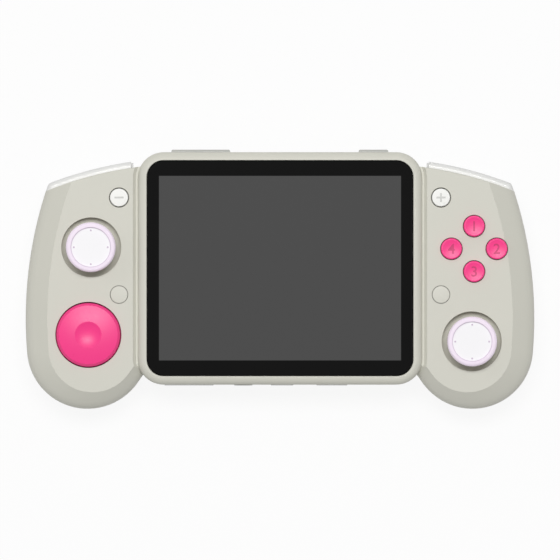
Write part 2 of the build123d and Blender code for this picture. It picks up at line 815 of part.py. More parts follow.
# Power socket: a flattened tube with a tongue
with BuildPart() as usb_c_port:
    usb_corner = usb_height / 2 - socket_sheet / 4
    add(socket_nose(usb_x, usb_width, usb_height, usb_corner, mouth_y, mouth_y + usb_length))
    add(socket_nose(usb_x, usb_width, usb_height, usb_corner, mouth_y - overrun,
                    mouth_y + usb_length - wall / 2, -socket_sheet), mode=Mode.SUBTRACT)
    tongue_middle = board_back - usb_height / 2
    tongue_root = mouth_y + usb_length - wall / 2
    tongue_length = usb_length - wall
    add(plate_at(usb_x, tongue_root - tongue_length / 2 + seat_gap, usb_tongue_width, tongue_length,
                 tongue_middle - usb_tongue / 2, tongue_middle + usb_tongue / 2))
usb_c_port.part.label = "usb_c_port"
export_step(usb_c_port.part, "parts/usb_c_port.step")

# Video socket
with BuildPart() as video_port:
    add(socket_nose(video_x, video_width, video_height, video_height / 4, mouth_y, mouth_y + video_length))
    add(socket_nose(video_x, video_width, video_height, video_height / 4, mouth_y - overrun,
                    mouth_y + video_length - wall / 2, -socket_sheet), mode=Mode.SUBTRACT)
    video_middle = board_back - video_height / 2
    video_root = mouth_y + video_length - wall / 2
    video_reach = video_length - wall
    add(plate_at(video_x, video_root - video_reach / 2 + seat_gap, video_width - video_height, video_reach,
                 video_middle - video_tongue / 2, video_middle + video_tongue / 2))
video_port.part.label = "video_port"
export_step(video_port.part, "parts/video_port.step")

# Headphone socket: a round nose in front of a square body, bored through
with BuildPart() as headphone_jack:
    jack_middle = board_back - jack_radius
    nose_root = inner_bottom_y + slide_gap
    with BuildSketch(Plane(origin=(jack_x, nose_root, jack_middle), x_dir=(1, 0, 0), z_dir=(0, -1, 0))):
        Circle(jack_radius)
    extrude(amount=nose_root - mouth_y)
    jack_back = mouth_y + jack_length
    add(plate_at(jack_x, (nose_root + jack_back) / 2, 2 * jack_radius, jack_back - nose_root,
                 jack_middle - jack_radius, board_back))
    jack_mouth = (jack_x, mouth_y - overrun, jack_middle)
    with BuildSketch(Plane(origin=jack_mouth, x_dir=(1, 0, 0), z_dir=(0, 1, 0))):
        Circle(jack_bore)
    extrude(amount=jack_length - jack_wall + overrun, mode=Mode.SUBTRACT)
headphone_jack.part.label = "headphone_jack"
export_step(headphone_jack.part, "parts/headphone_jack.step")

# Memory card slot
with BuildPart() as card_slot:
    add(socket_nose(card_x, card_width, card_height, card_height / 4, mouth_y, mouth_y + card_length))
    card_middle = board_back - card_height / 2
    add(plate_at(card_x, mouth_y + (card_length - wall) / 2 - overrun, card_mouth_width, card_length - wall,
                 card_middle - card_mouth_height / 2, card_middle + card_mouth_height / 2), mode=Mode.SUBTRACT)
card_slot.part.label = "card_slot"
export_step(card_slot.part, "parts/card_slot.step")

# Ribbon from the display's lower edge down to the main board
with BuildPart() as screen_flex:
    lcd_bottom_y = glass_y - lcd_length / 2
    flex_wall_y = lcd_bottom_y - screen_flex_reach / 2
    flex_top = lcd_back + lcd_thickness / 4
    flex_foot_y = flex_wall_y + screen_flex_reach
    add(plate_at(0, (lcd_bottom_y + flex_wall_y) / 2, screen_flex_width, lcd_bottom_y - flex_wall_y,
                 flex_top - flex_sheet, flex_top))
    add(plate_at(0, flex_wall_y + flex_sheet / 2, screen_flex_width, flex_sheet, board_top, flex_top))
    add(plate_at(0, (flex_wall_y + flex_foot_y) / 2, screen_flex_width, flex_foot_y - flex_wall_y,
                 board_top, board_top + flex_sheet))
screen_flex.part.label = "screen_flex"
export_step(screen_flex.part, "parts/screen_flex.step")

# Ribbons from the wings' boards to the main board
with BuildPart() as wing_flexes:
    flex_inner = board_width / 2 - screen_flex_reach
    flex_outer = wing_inner + control_inner_inset + screen_flex_reach
    for name, sign in sides:
        add(plate_at(sign * (flex_inner + flex_outer) / 2, wing_flex_y, flex_outer - flex_inner,
                     wing_flex_width, board_top, board_top + flex_sheet))
wing_flexes.part.label = "wing_flexes"
export_step(wing_flexes.part, "parts/wing_flexes.step")

# Control boards in the wings, with a hole for the stick, room for the case bosses and a switch under each key
for name, sign in sides:
    places = left_post_places if sign < 0 else right_post_places
    stick_x, stick_y = stick_places[name]
    with BuildPart() as control_board:
        board_edge = wing_face(board_back, control_inset, 0, control_top_inset, control_inner_inset)
        extrude(board_edge, amount=board_thickness)
        if sign > 0:
            mirror(about=Plane.YZ, mode=Mode.REPLACE)
        for y in (key_y, function_y):
            add(plate_at(sign * key_x, y, switch_width, switch_width, board_top, board_top + switch_height))
        stick_room = can_width + 2 * slide_gap
        add(plate_at(stick_x, stick_y, stick_room, stick_room, board_back - overrun, board_top + overrun),
            mode=Mode.SUBTRACT)
        for x, y in case_screw_places:
            add(post_at(sign * x, y, case_boss + slide_gap, board_back - overrun, board_top + overrun),
                mode=Mode.SUBTRACT)
        for x, y in places:
            add(post_at(x, y, board_hole, board_back - overrun, board_top + overrun), mode=Mode.SUBTRACT)
    control_board.part.label = name + "_control_board"
    export_step(control_board.part, "parts/" + control_board.part.label + ".step")

# Loudspeakers on the floor of the wings, over the slots
for name, sign in sides:
    with BuildPart() as speaker:
        add(plate_at(sign * speaker_x, speaker_y, speaker_width, speaker_length, wall, wall + speaker_height))
        with BuildSketch(Plane.XY.offset(wall)):
            with Locations((sign * speaker_x, speaker_y)):
                SlotOverall(speaker_width - wall, 2 * speaker_cone)
        extrude(amount=speaker_cone_depth, mode=Mode.SUBTRACT)
    speaker.part.label = name + "_speaker"
    export_step(speaker.part, "parts/" + speaker.part.label + ".step")

# Thumb sticks: a can on the rear posts, a cradle that clicks down, a yoke in it, and a stem in the yoke
for name, sign in sides:
    x, y = stick_places[name]
    axle = (x, y, stick_pivot)
    can_top = recess_z - recess_floor - slide_gap

    with BuildPart() as stick_can:
        add(plate_at(x, y, can_width, can_width, can_base, can_top))
        can_inside = can_width - 2 * can_sheet
        can_floor = can_base + can_sheet
        add(plate_at(x, y, can_inside, can_inside, can_floor, can_top + overrun), mode=Mode.SUBTRACT)
        add(post_at(x, y, can_switch, can_floor, can_floor + can_switch_height))
    stick_can.part.label = name + "_stick_can"
    export_step(stick_can.part, "parts/" + stick_can.part.label + ".step")

    with BuildPart() as stick_cradle:
        add(plate_at(x, y, cradle_width, cradle_width, cradle_low, cradle_low + cradle_thickness))
        for ear_sign in (-1, 1):
            add(plate_at(x + ear_sign * (ear_reach - ear_thickness / 2), y, ear_thickness, ear_width,
                         cradle_low, stick_pivot + ear_rise))
        add(bar_along("x", axle, gimbal_pin + pin_gap, cradle_width), mode=Mode.SUBTRACT)
    stick_cradle.part.label = name + "_stick_cradle"
    export_step(stick_cradle.part, "parts/" + stick_cradle.part.label + ".step")

    with BuildPart() as stick_yoke:
        add(post_at(x, y, yoke_outer, stick_pivot - yoke_height / 2, stick_pivot + yoke_height / 2))
        add(bar_along("x", axle, gimbal_pin, ear_reach))
        add(post_at(x, y, yoke_inner, stick_pivot - yoke_height, stick_pivot + yoke_height),
            mode=Mode.SUBTRACT)
        add(bar_along("y", axle, gimbal_pin + pin_gap, cradle_width), mode=Mode.SUBTRACT)
    stick_yoke.part.label = name + "_stick_yoke"
    export_step(stick_yoke.part, "parts/" + stick_yoke.part.label + ".step")

    with BuildPart() as stick_stem:
        with BuildSketch(upright(x, y)):
            with Locations((0, stick_pivot)):
                Circle(dome_radius)
                Circle(dome_radius - dome_wall, mode=Mode.SUBTRACT)
            skirt_x = dome_radius * sin(radians(dome_reach))
            skirt_z = stick_pivot + dome_radius * cos(radians(dome_reach))
            with BuildLine():
                Polyline((0, stick_pivot), (2 * skirt_x, 2 * skirt_z - stick_pivot), (2 * skirt_x, cap_foot),
                         (0, cap_foot), (0, stick_pivot))
            make_face(mode=Mode.INTERSECT)
        revolve(axis=Axis((x, y, 0), (0, 0, 1)))
        stem_waist = stick_pivot + yoke_inner
        add(post_at(x, y, stem_foot, stick_pivot - stem_tail, stem_waist))
        add(post_at(x, y, stem_radius, stem_waist, cap_foot))
        add(post_at(x, y, stem_tip, cap_foot, cap_foot + stem_plug))
        add(bar_along("y", axle, gimbal_pin, yoke_outer))
    stick_stem.part.label = name + "_stick_stem"
    export_step(stick_stem.part, "parts/" + stick_stem.part.label + ".step")

    with BuildPart() as stick_cap:
        with BuildSketch(upright(x, y)):
            with BuildLine():
                Polyline((0, cap_top - cap_step), (0, cap_foot), (cap_radius, cap_foot),
                         (cap_radius, cap_top), (cap_disc, cap_top), (cap_disc, cap_top - cap_step),
                         (0, cap_top - cap_step))
            make_face()
        revolve(axis=Axis((x, y, 0), (0, 0, 1)))
        fillet(rims_of(stick_cap, cap_radius), cap_round)
        add(post_at(x, y, stem_tip + stem_fit, cap_foot - overrun, cap_foot + stem_plug + stem_fit),
            mode=Mode.SUBTRACT)
        with BuildSketch(Plane.XY.offset(cap_top - cap_step)):
            with Locations((x, y)):
                with PolarLocations(cap_tick_reach, 4):
                    Circle(cap_tick)
        extrude(amount=cap_tick_height)
    stick_cap.part.label = name + "_stick_cap"
    export_step(stick_cap.part, "parts/" + stick_cap.part.label + ".step")

# Direction disc on a cross-shaped spider, whose bearings stand on the left control board
dpad_axis = Axis((dpad_x, dpad_y, 0), (0, 0, 1))
dpad_center = (dpad_x, dpad_y, dpad_pivot)
flange_high = dpad_pivot + dpad_flange_thickness - pin_gap
flange_low = flange_high - dpad_flange_thickness
dpad_rim_z = wing_top + dpad_rim
with BuildPart() as pivot_bracket:
    add(post_at(dpad_x, dpad_y, pivot_base, board_top, board_top + pivot_base_thickness))
    for ear_sign in (-1, 1):
        add(plate_at(dpad_x + ear_sign * (pivot_ear_reach - pivot_ear_thickness / 2), dpad_y,
                     pivot_ear_thickness, pivot_ear_width, board_top, dpad_pivot + pivot_ear_rise))
    add(bar_along("x", dpad_center, spider_pin + pin_gap, pivot_base + overrun), mode=Mode.SUBTRACT)
pivot_bracket.part.label = "dpad_pivot_bracket"
export_step(pivot_bracket.part, "parts/dpad_pivot_bracket.step")

with BuildPart() as dpad_spider:
    add(post_at(dpad_x, dpad_y, spider_hub, dpad_pivot - spider_hub_height / 2,
                dpad_pivot + spider_hub_height / 2))
    add(bar_along("x", dpad_center, spider_pin, pivot_ear_reach))
    add(bar_along("y", dpad_center, spider_pin, pivot_ear_reach - pivot_ear_thickness))
dpad_spider.part.label = "dpad_spider"
export_step(dpad_spider.part, "parts/dpad_spider.step")

with BuildPart() as dpad_disc:
    disc_rim = dpad_rim_z + dpad_bevel
    crest = disc_rim + dpad_crown
    revolve(crowned_face(dpad_x, dpad_y, dpad_radius, flange_low, disc_rim, dpad_crown), axis=dpad_axis)
    chamfer(rims_of(dpad_disc, dpad_radius)[-1], dpad_bevel)
    add(post_at(dpad_x, dpad_y, dpad_radius + dpad_flange, flange_low, flange_high))
    dimple_ball = (dpad_dimple**2 + dpad_dimple_depth**2) / (2 * dpad_dimple_depth)
    with Locations((dpad_x, dpad_y, crest - dpad_dimple_depth + dimple_ball)):
        Sphere(dimple_ball, mode=Mode.SUBTRACT)
    disc_roof = wing_top - dpad_roof
    add(post_at(dpad_x, dpad_y, dpad_hollow, flange_low - overrun, disc_roof), mode=Mode.SUBTRACT)
    ear_middle = pivot_ear_reach - pivot_ear_thickness * 1.5
    for ear_sign in (-1, 1):
        add(plate_at(dpad_x, dpad_y + ear_sign * ear_middle, pivot_ear_width, pivot_ear_thickness,
                     dpad_pivot - pivot_ear_rise, disc_roof))
    add(bar_along("y", dpad_center, spider_pin + pin_gap, dpad_hollow), mode=Mode.SUBTRACT)
    with BuildSketch(Plane.XY.offset(flange_low - dpad_foot_drop)):
        with Locations((dpad_x, dpad_y)):
            with PolarLocations(dpad_foot_reach, 4):
                Circle(dpad_foot)
    extrude(amount=dpad_foot_drop + dpad_flange_thickness / 2)
dpad_disc.part.label = "dpad_disc"
export_step(dpad_disc.part, "parts/dpad_disc.step")

# Face buttons in a diamond
flange_z = ceiling - button_flange_gap - button_flange_thickness
for name, dx, dy in (("north", 0, 1), ("east", 1, 0), ("south", 0, -1), ("west", -1, 0)):
    face_button = round_key(button_x + dx * button_reach, button_y + dy * button_reach, button_radius,
                            button_foot, wing_top + button_lift, -button_hollow, button_edge, button_flange,
                            flange_z, button_flange_thickness)
    face_button.label = name + "_button"
    export_step(face_button, "parts/" + face_button.label + ".step")

# Two white keys and two keys in the shell's colour, each over a switch on its board
key_foot = board_top + switch_height + key_travel + pin_gap
key_flange_z = ceiling - slide_gap - key_flange_thickness
for name, sign in sides:
    small_key = round_key(sign * key_x, key_y, key_radius, key_foot, wing_top + key_lift - key_crown,
                          key_crown, key_edge, key_flange, key_flange_z, key_flange_thickness)
    small_key.label = {"left": "select_key", "right": "start_key"}[name]
    export_step(small_key, "parts/" + small_key.label + ".step")
    function_rim = wing_top + function_lift - key_crown
    function_key = round_key(sign * key_x, function_y, function_radius, key_foot, function_rim, key_crown,
                             key_edge / 2, key_flange, key_flange_z, key_flange_thickness)
    function_key.label = name + "_function_key"
    export_step(function_key, "parts/" + function_key.label + ".step")

# Rubber mats between the boards and the controls
bump_foot = board_top + mat_thickness
with BuildPart() as left_mat:
    add(post_at(dpad_x, dpad_y, dpad_mat_outer, board_top, bump_foot))
    add(post_at(dpad_x, dpad_y, dpad_mat_inner, board_top - overrun, bump_foot + overrun), mode=Mode.SUBTRACT)
    with BuildSketch(Plane.XY.offset(bump_foot)):
        with Locations((dpad_x, dpad_y)):
            with PolarLocations(dpad_foot_reach, 4):
                Circle(dpad_bump)
    extrude(amount=mat_height, taper=bump_taper)
left_mat.part.label = "left_mat"
export_step(left_mat.part, "parts/left_mat.step")
with BuildPart() as right_mat:
    add(post_at(button_x, button_y, button_mat_radius, board_top, bump_foot))
    with BuildSketch(Plane.XY.offset(bump_foot)):
        with Locations((button_x, button_y)):
            with PolarLocations(button_reach, 4):
                Circle(button_bump)
    extrude(amount=mat_height, taper=bump_taper)
right_mat.part.label = "right_mat"
export_step(right_mat.part, "parts/right_mat.step")

# Shoulder keys, their pins and the boards with their switches
for name, sign in sides:
    bumper = shoulder_key(sign, bumper_low, bumper_high, bumper_proud, bumper_angle, bumper_end)
    bumper.label = name + "_bumper"
    export_step(bumper, "parts/" + bumper.label + ".step")
    trigger = shoulder_key(sign, trigger_low, trigger_high, trigger_proud, trigger_angle, trigger_end)
    trigger.label = name + "_trigger"
    export_step(trigger, "parts/" + trigger.label + ".step")
with BuildPart() as shoulder_pins:
    for name, sign in sides:
        add(post_at(sign * pin_x, pin_y, pin_radius, pin_low, pin_high))
shoulder_pins.part.label = "shoulder_pins"
export_step(shoulder_pins.part, "parts/shoulder_pins.step")
with BuildPart() as shoulder_boards:
    tact_foot_y = tact_face_y - tact_depth
    for name, sign in sides:
        add(plate_at(sign * shoulder_board_x, tact_foot_y - shoulder_board_thickness / 2,
                     shoulder_board_width, shoulder_board_thickness, shoulder_board_low, shoulder_board_high))
        for low, high in ((bumper_low, bumper_high), (trigger_low, trigger_high)):
            middle = (low + high) / 2
            tact_half = min(tact_width / 2, shoulder_board_high - middle)
            add(plate_at(sign * nub_x, tact_foot_y + tact_depth / 2, tact_width, tact_depth,
                         middle - tact_half, middle + tact_half))
shoulder_boards.part.label = "shoulder_boards"
export_step(shoulder_boards.part, "parts/shoulder_boards.step")

# Keys on the top edge and the board behind them
top_low = top_key_z - top_key_height / 2
top_high = top_key_z + top_key_height / 2
flange_front_y = inner_top_y - top_flange_gap
flange_back_y = flange_front_y - top_flange_thickness
switch_face_y = top_board_y + board_thickness + top_switch_depth


def top_key(x, width, foot_places):
    """A key in the top wall, with a flange behind the wall and a foot before each switch."""
    with BuildPart(mode=Mode.PRIVATE) as key:
        outer_y = body_top_y + top_key_proud
        add(plate_at(x, (flange_back_y + outer_y) / 2, width, outer_y - flange_back_y, top_low, top_high))
        outer_face = key.faces().sort_by(Axis.Y)[-1]
        fillet(outer_face.edges(), top_key_round)
        add(plate_at(x, (flange_back_y + flange_front_y) / 2, width + 2 * top_flange, top_flange_thickness,
                     top_low, top_high))
        foot_y = switch_face_y + top_foot_gap
        foot_depth = flange_back_y + top_flange_thickness / 2 - foot_y
        for place in foot_places:
            add(plate_at(x + place, foot_y + foot_depth / 2, volume_foot_width, foot_depth, top_low,
                         top_high))
    return key.part


volume_rocker = top_key(volume_x, volume_width, (-volume_foot_reach, volume_foot_reach))
volume_rocker.label = "volume_rocker"
export_step(volume_rocker, "parts/volume_rocker.step")
power_key = top_key(power_x, power_width, (0,))
power_key.label = "power_key"
export_step(power_key, "parts/power_key.step")
with BuildPart() as top_key_board:
    board_middle = top_board_y + board_thickness / 2
    add(plate_at(0, board_middle, top_board_width, board_thickness,
                 top_key_z - top_board_height / 2, top_key_z + top_board_height / 2))
    for x in (volume_x - volume_foot_reach, volume_x + volume_foot_reach, power_x):
        add(plate_at(x, switch_face_y - top_switch_depth / 2, top_switch_width, top_switch_depth,
                     top_low, top_high))
top_key_board.part.label = "top_key_board"
export_step(top_key_board.part, "parts/top_key_board.step")

# Screws: six from the back through the case, and small ones for the boards and the bracket
with BuildPart() as case_screws:
    for x, y in case_screws_all:
        add(screw_at(x, y, case_seat, 1, case_head_radius, case_head_height, case_shank, case_shank_length))
case_screws.part.label = "case_screws"
export_step(case_screws.part, "parts/case_screws.step")
small_screw = (board_head_radius, board_head_height, board_shank, board_shank_length)
with BuildPart() as board_screws:
    for x, y in board_screws_all:
        add(screw_at(x, y, board_top, -1, *small_screw))
    for x, y in control_screws_all:
        add(screw_at(x, y, board_back, 1, *small_screw))
    for x, y in bracket_screws_all:
        add(screw_at(x, y, bracket_back, 1, *small_screw))
board_screws.part.label = "board_screws"
export_step(board_screws.part, "parts/board_screws.step")
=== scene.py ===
import json
import math
from functools import cached_property

import bmesh
import bpy
from mathutils import Matrix, Vector
from mathutils.bvhtree import BVHTree


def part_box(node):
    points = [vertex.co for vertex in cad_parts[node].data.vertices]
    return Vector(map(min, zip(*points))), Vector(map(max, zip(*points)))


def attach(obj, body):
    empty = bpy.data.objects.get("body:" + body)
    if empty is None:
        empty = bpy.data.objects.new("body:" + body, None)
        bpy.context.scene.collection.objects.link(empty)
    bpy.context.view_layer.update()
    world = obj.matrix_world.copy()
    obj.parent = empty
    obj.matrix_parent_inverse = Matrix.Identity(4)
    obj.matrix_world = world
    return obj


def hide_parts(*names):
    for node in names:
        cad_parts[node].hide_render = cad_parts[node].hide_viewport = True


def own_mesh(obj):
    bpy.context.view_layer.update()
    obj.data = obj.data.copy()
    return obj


bl_info = {
    "name": "Handheld Console Dresser",
    "version": (1, 0, 0),
    "blender": (4, 5, 0),
    "location": "View3D > Sidebar > Console",
    "description": "Dresses a handheld game console with its plastics, glass, metal and marks",
    "category": "Object",
}

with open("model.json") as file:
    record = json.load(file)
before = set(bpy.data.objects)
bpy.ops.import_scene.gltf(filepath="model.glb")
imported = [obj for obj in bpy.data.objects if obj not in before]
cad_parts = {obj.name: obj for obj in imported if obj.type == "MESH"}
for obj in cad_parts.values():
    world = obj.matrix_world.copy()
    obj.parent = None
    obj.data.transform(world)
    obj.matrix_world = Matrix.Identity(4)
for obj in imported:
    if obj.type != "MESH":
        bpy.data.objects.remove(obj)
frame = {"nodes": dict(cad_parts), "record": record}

MM = 0.001
BEHAVIOUR = frame["record"]["behaviour"]
BODY_OF = {node: body for body, nodes in BEHAVIOUR["bodies"].items() for node in nodes}
SIDES = ("left", "right")
FACE_BUTTONS = {"north_button": "1", "east_button": "2", "south_button": "3", "west_button": "4"}
WHITE_KEYS = {"select_key": "\u2212", "start_key": "+"}
MAT_QUARTERS = {"north": Vector((0, 1, 0)), "east": Vector((1, 0, 0)), "south": Vector((0, -1, 0)),
                "west": Vector((-1, 0, 0))}

# Faces that meet at less than this shade as one
CREASE = math.radians(32)
# Points nearer than this are joined, in a part and in a mark, and the slack of a cut
WELD = 0.001 * MM
MARK_WELD = 0.0002 * MM
CUT_SLACK = 0.0001 * MM
# Skirts of the shoulder keys, in millimetres: distance from the middle and height of the outer face's lower
# and upper edge, then the thickness and both ends along Y, which are alike for all
SKIRT_FACES = {"bumper": ((66.95, 10.9), (66.95, 14.9)), "trigger": ((66.7, 6.6), (67.0, 10.0))}
SKIRT_THICKNESS = 0.25
SKIRT_ENDS = (24.7, 21.7)
# Marks: steps along each curve of a sign, the longest edge that stays whole, and the cuts in a longer one
MARK_STEPS = 5
MARK_EDGE = 0.5 * MM
MARK_CUTS = 3
# Front shell: how far the screen frame stands over the grips, and between which radii the painted shade of
# the stick ring ends
FRAME_RISE = 0.9 * MM
RING_EDGE = (8.72 * MM, 8.86 * MM)
# Holes in the front shell: radius, width of the painted shade line round it, and the line's strength
HOLE_SHADE_LINES = {**dict.fromkeys(FACE_BUTTONS, (3.2 * MM, 0.04 * MM, 1.0)),
              **dict.fromkeys(WHITE_KEYS, (2.82 * MM, 0.06 * MM, 1.0)),
              **{side + "_function_key": (2.62 * MM, 0.02 * MM, 0.4) for side in SIDES}}
LINE_FADE = 0.12 * MM
# Stick cap: between which radii the middle turns into the rim, radius of the fine line, and between which
# radii and which depths below the top the raised ticks end
CAP_MIDDLE = (5.6 * MM, 5.75 * MM)
CAP_LINE = 5.72 * MM
TICK_EDGE = (5.2 * MM, 5.3 * MM)
TICK_DEPTH = (0.55 * MM, 0.5 * MM)
# Contacts in a socket: count, pitch, and thickness of the tongue, then what is alike for all
CONTACTS = {"usb_c_port": (12, 0.5 * MM, 0.7 * MM), "video_port": (9, 0.36 * MM, 0.6 * MM)}
CONTACT_IN = 3.6 * MM
CONTACT_LENGTH = 3.2 * MM
CONTACT_HEIGHT = 0.05 * MM
# Small parts in a row on either side of the shield
PART_COUNT = 18
PART_PITCH = 2.3 * MM
PART_AWAY = 1.6 * MM
PART_SIZE = (MM, 0.5 * MM, 0.5 * MM)
# Lamps, which shine at the middle of the scene: place, width and length; their powers are settings
LAMPS = {"key": (Vector((-0.02, 0.38, 1.5)), 0.75, 0.4), "side": (Vector((-1.1, 0.5, 0.9)), 0.6, 0.6)}
FLOOR_REACH = 3
FLOOR_DROP = 0.05 * MM


def linear(red, green, blue):
    """A colour as a screen shows it, 0 to 255, as the light it gives."""
    return tuple((c / 255 / 12.92) if c <= 10 else ((c / 255 + 0.055) / 1.055) ** 2.4
                 for c in (red, green, blue))


def centre(node):
    """Middle of a part's box."""
    low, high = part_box(node)
    return (low + high) / 2


def half_width(node):
    """Half the width of a part's box."""
    low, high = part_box(node)
    return (high.x - low.x) / 2


# Sizes and colours that a user may change

class ShellLooks(bpy.types.PropertyGroup):
    plastic: bpy.props.FloatVectorProperty(
        name="Plastic", description="Colour of both shells", subtype="COLOR", default=linear(213, 212, 201))
    # Painted shade: the sunk ring round each stick is the shell plastic darkened for the shade in its recess;
    # the stick stems take this colour too
    ring_shade: bpy.props.FloatVectorProperty(
        name="Stick ring", description="Colour of the sunk ring round each stick", subtype="COLOR",
        default=linear(202, 200, 188))
    # Painted shade: dark lines round the control holes stand for the shadow in the gaps; the same colour
    # draws the dark seam line between the shells
    hole_shade_and_seam: bpy.props.FloatVectorProperty(
        name="Gap line", description="Colour of the edge round a hole and of the seam", subtype="COLOR",
        default=linear(104, 102, 90))
    bumper: bpy.props.FloatVectorProperty(
        name="Shoulder keys", description="Colour of the bumpers and triggers", subtype="COLOR",
        default=linear(228, 228, 226))
    # Painted shade: the volume and power keys are white plastic, painted grey for shade
    edge_key_shade: bpy.props.FloatVectorProperty(
        name="Edge keys", description="Colour of the volume and power keys", subtype="COLOR",
        default=linear(175, 176, 171))
    grain: bpy.props.FloatProperty(
        name="Grain", description="Width of one grain of the moulded texture", unit="LENGTH",
        default=0.24 * MM)
    grain_depth: bpy.props.FloatProperty(
        name="Grain depth", description="Height of the moulded texture", unit="LENGTH", default=0.008 * MM)
    seam: bpy.props.FloatProperty(
        name="Seam", description="Half width of the line between the shells", unit="LENGTH",
        default=0.09 * MM)
    smooth_angle: bpy.props.FloatProperty(
        name="Smooth angle", description="Faces that meet at less than this shade as one", subtype="ANGLE",
        default=CREASE)


class ScreenLooks(bpy.types.PropertyGroup):
    border: bpy.props.FloatVectorProperty(
        name="Border", description="Print behind the edge of the glass", subtype="COLOR",
        default=linear(17, 17, 17))
    display: bpy.props.FloatVectorProperty(
        name="Display", description="The display when it is off", subtype="COLOR", default=linear(80, 80, 80))
    width: bpy.props.FloatProperty(
        name="Picture width", description="Width of the lit area", unit="LENGTH", default=70.2 * MM)
    length: bpy.props.FloatProperty(
        name="Picture height", description="Height of the lit area", unit="LENGTH", default=53.5 * MM)


class ControlLooks(bpy.types.PropertyGroup):
    pink: bpy.props.FloatVectorProperty(
        name="Pink", description="Direction disc and face buttons", subtype="COLOR",
        default=linear(255, 60, 141))
    disc_crease: bpy.props.FloatProperty(
        name="Disc crease", description="Faces of the disc and the buttons that meet at more stay crisp",
        subtype="ANGLE", default=math.radians(18))
    stroke: bpy.props.FloatProperty(
        name="Stroke", description="How much bolder than its type face a mark is", unit="LENGTH",
        default=0.05 * MM)
    mark_pink: bpy.props.FloatVectorProperty(
        name="Button mark", description="Numerals on the face buttons", subtype="COLOR",
        default=linear(205, 38, 108))
    cap_rim: bpy.props.FloatVectorProperty(
        name="Stick rim", description="Rim of a stick's cap", subtype="COLOR", default=linear(251, 237, 252))
    cap_middle: bpy.props.FloatVectorProperty(
        name="Stick middle", description="Sunk middle of a stick's cap", subtype="COLOR",
        default=linear(253, 252, 254))
    cap_line: bpy.props.FloatVectorProperty(
        name="Stick line", description="Fine line round a cap's middle", subtype="COLOR",
        default=linear(214, 200, 216))
    white_key: bpy.props.FloatVectorProperty(
        name="White keys", description="The two small keys near the shoulders", subtype="COLOR",
        default=linear(251, 251, 247))
    mark_grey: bpy.props.FloatVectorProperty(
        name="Key mark", description="Marks on the white keys", subtype="COLOR",
        default=linear(208, 208, 204))
    numeral_size: bpy.props.FloatProperty(
        name="Numeral size", description="Type size of the numerals", unit="LENGTH", default=4.2 * MM)
    mark_size: bpy.props.FloatProperty(
        name="Mark size", description="Type size of the marks on the white keys", unit="LENGTH",
        default=5.4 * MM)
    mark_height: bpy.props.FloatProperty(
        name="Mark height", description="How far a mark stands above its key", unit="LENGTH",
        default=0.02 * MM)
    disc_keep: bpy.props.FloatProperty(
        name="Mat under the disc", subtype="FACTOR", default=0.74,
        description="Share of its height that the mat keeps under a pressed disc")
    button_keep: bpy.props.FloatProperty(
        name="Mat under a button", subtype="FACTOR", default=0.37,
        description="Share of its height that the mat keeps under a pressed button")
    rib_count: bpy.props.IntProperty(
        name="Ribs", description="Grip ribs round a stick's cap", default=64)
    rib_radius: bpy.props.FloatProperty(
        name="Rib radius", description="Radius of one grip rib", unit="LENGTH", default=0.14 * MM)
    rib_proud: bpy.props.FloatProperty(
        name="Rib height", description="How far a rib stands out of the cap", unit="LENGTH",
        default=0.05 * MM)
    rib_length: bpy.props.FloatProperty(
        name="Rib length", description="Length of a rib along the cap's side", unit="LENGTH",
        default=0.9 * MM)


class StageLooks(bpy.types.PropertyGroup):
    camera_height: bpy.props.FloatProperty(
        name="Camera height", description="Height of the camera over the floor", unit="LENGTH", default=2.0)
    view_width: bpy.props.FloatProperty(
        name="View width", description="Width of the picture at the glass", unit="LENGTH",
        default=162.4 * MM)
    view_y: bpy.props.FloatProperty(
        name="View middle", description="Middle of the picture along Y", unit="LENGTH", default=-0.16 * MM)
    key_power: bpy.props.FloatProperty(
        name="Key light", description="Power of the overhead light", subtype="POWER", default=14.5)
    side_power: bpy.props.FloatProperty(
        name="Side light", description="Power of the light from the left of the shoulders", subtype="POWER",
        default=0.8)
    room_light: bpy.props.FloatProperty(
        name="Room light", description="Strength of the light from all round", default=0.30)
    floor_white: bpy.props.FloatProperty(
        name="Floor white", description="How far the floor shows as plain white", subtype="FACTOR",
        default=0.90)


# Node trees: one way to add a node, and sums written as they read

class Value:
    """A number or vector inside a node tree; its operators add Math nodes."""

    def __init__(self, work, socket):
        self.work = work
        self.socket = socket

    def _math(self, operation, first, second):
        return self.work.node("ShaderNodeMath", {"operation": operation}, {0: first, 1: second})

    def __add__(self, other):
        return self._math("ADD", self, other)

    __radd__ = __add__

    def __sub__(self, other):
        return self._math("SUBTRACT", self, other)

    def __rsub__(self, other):
        return self._math("SUBTRACT", other, self)

    def __mul__(self, other):
        return self._math("MULTIPLY", self, other)

    def __pow__(self, other):
        return self._math("POWER", self, other)

    def __abs__(self):
        return self._math("ABSOLUTE", self, 0.0)

    def most(self, other):
        return self._math("MAXIMUM", self, other)

    def least(self, other):
        return self._math("MINIMUM", self, other)


class NodeWork:
    """A node tree in the making."""

    def node(self, kind, settings, values, output=0):
        """Adds a node, first with its settings and then with the values or links of its sockets."""
        made = self.tree.nodes.new(kind)
        for name, value in settings.items():
            setattr(made, name, value)
        for name, value in values.items():
            self.feed(made.inputs[name], value)
        return Value(self, made.outputs[output])

    def feed(self, socket, value):
        """Links a value to a socket, or sets the socket to a plain number or vector."""
        if isinstance(value, Value):
            self.tree.links.new(value.socket, socket)
        else:
            socket.default_value = value


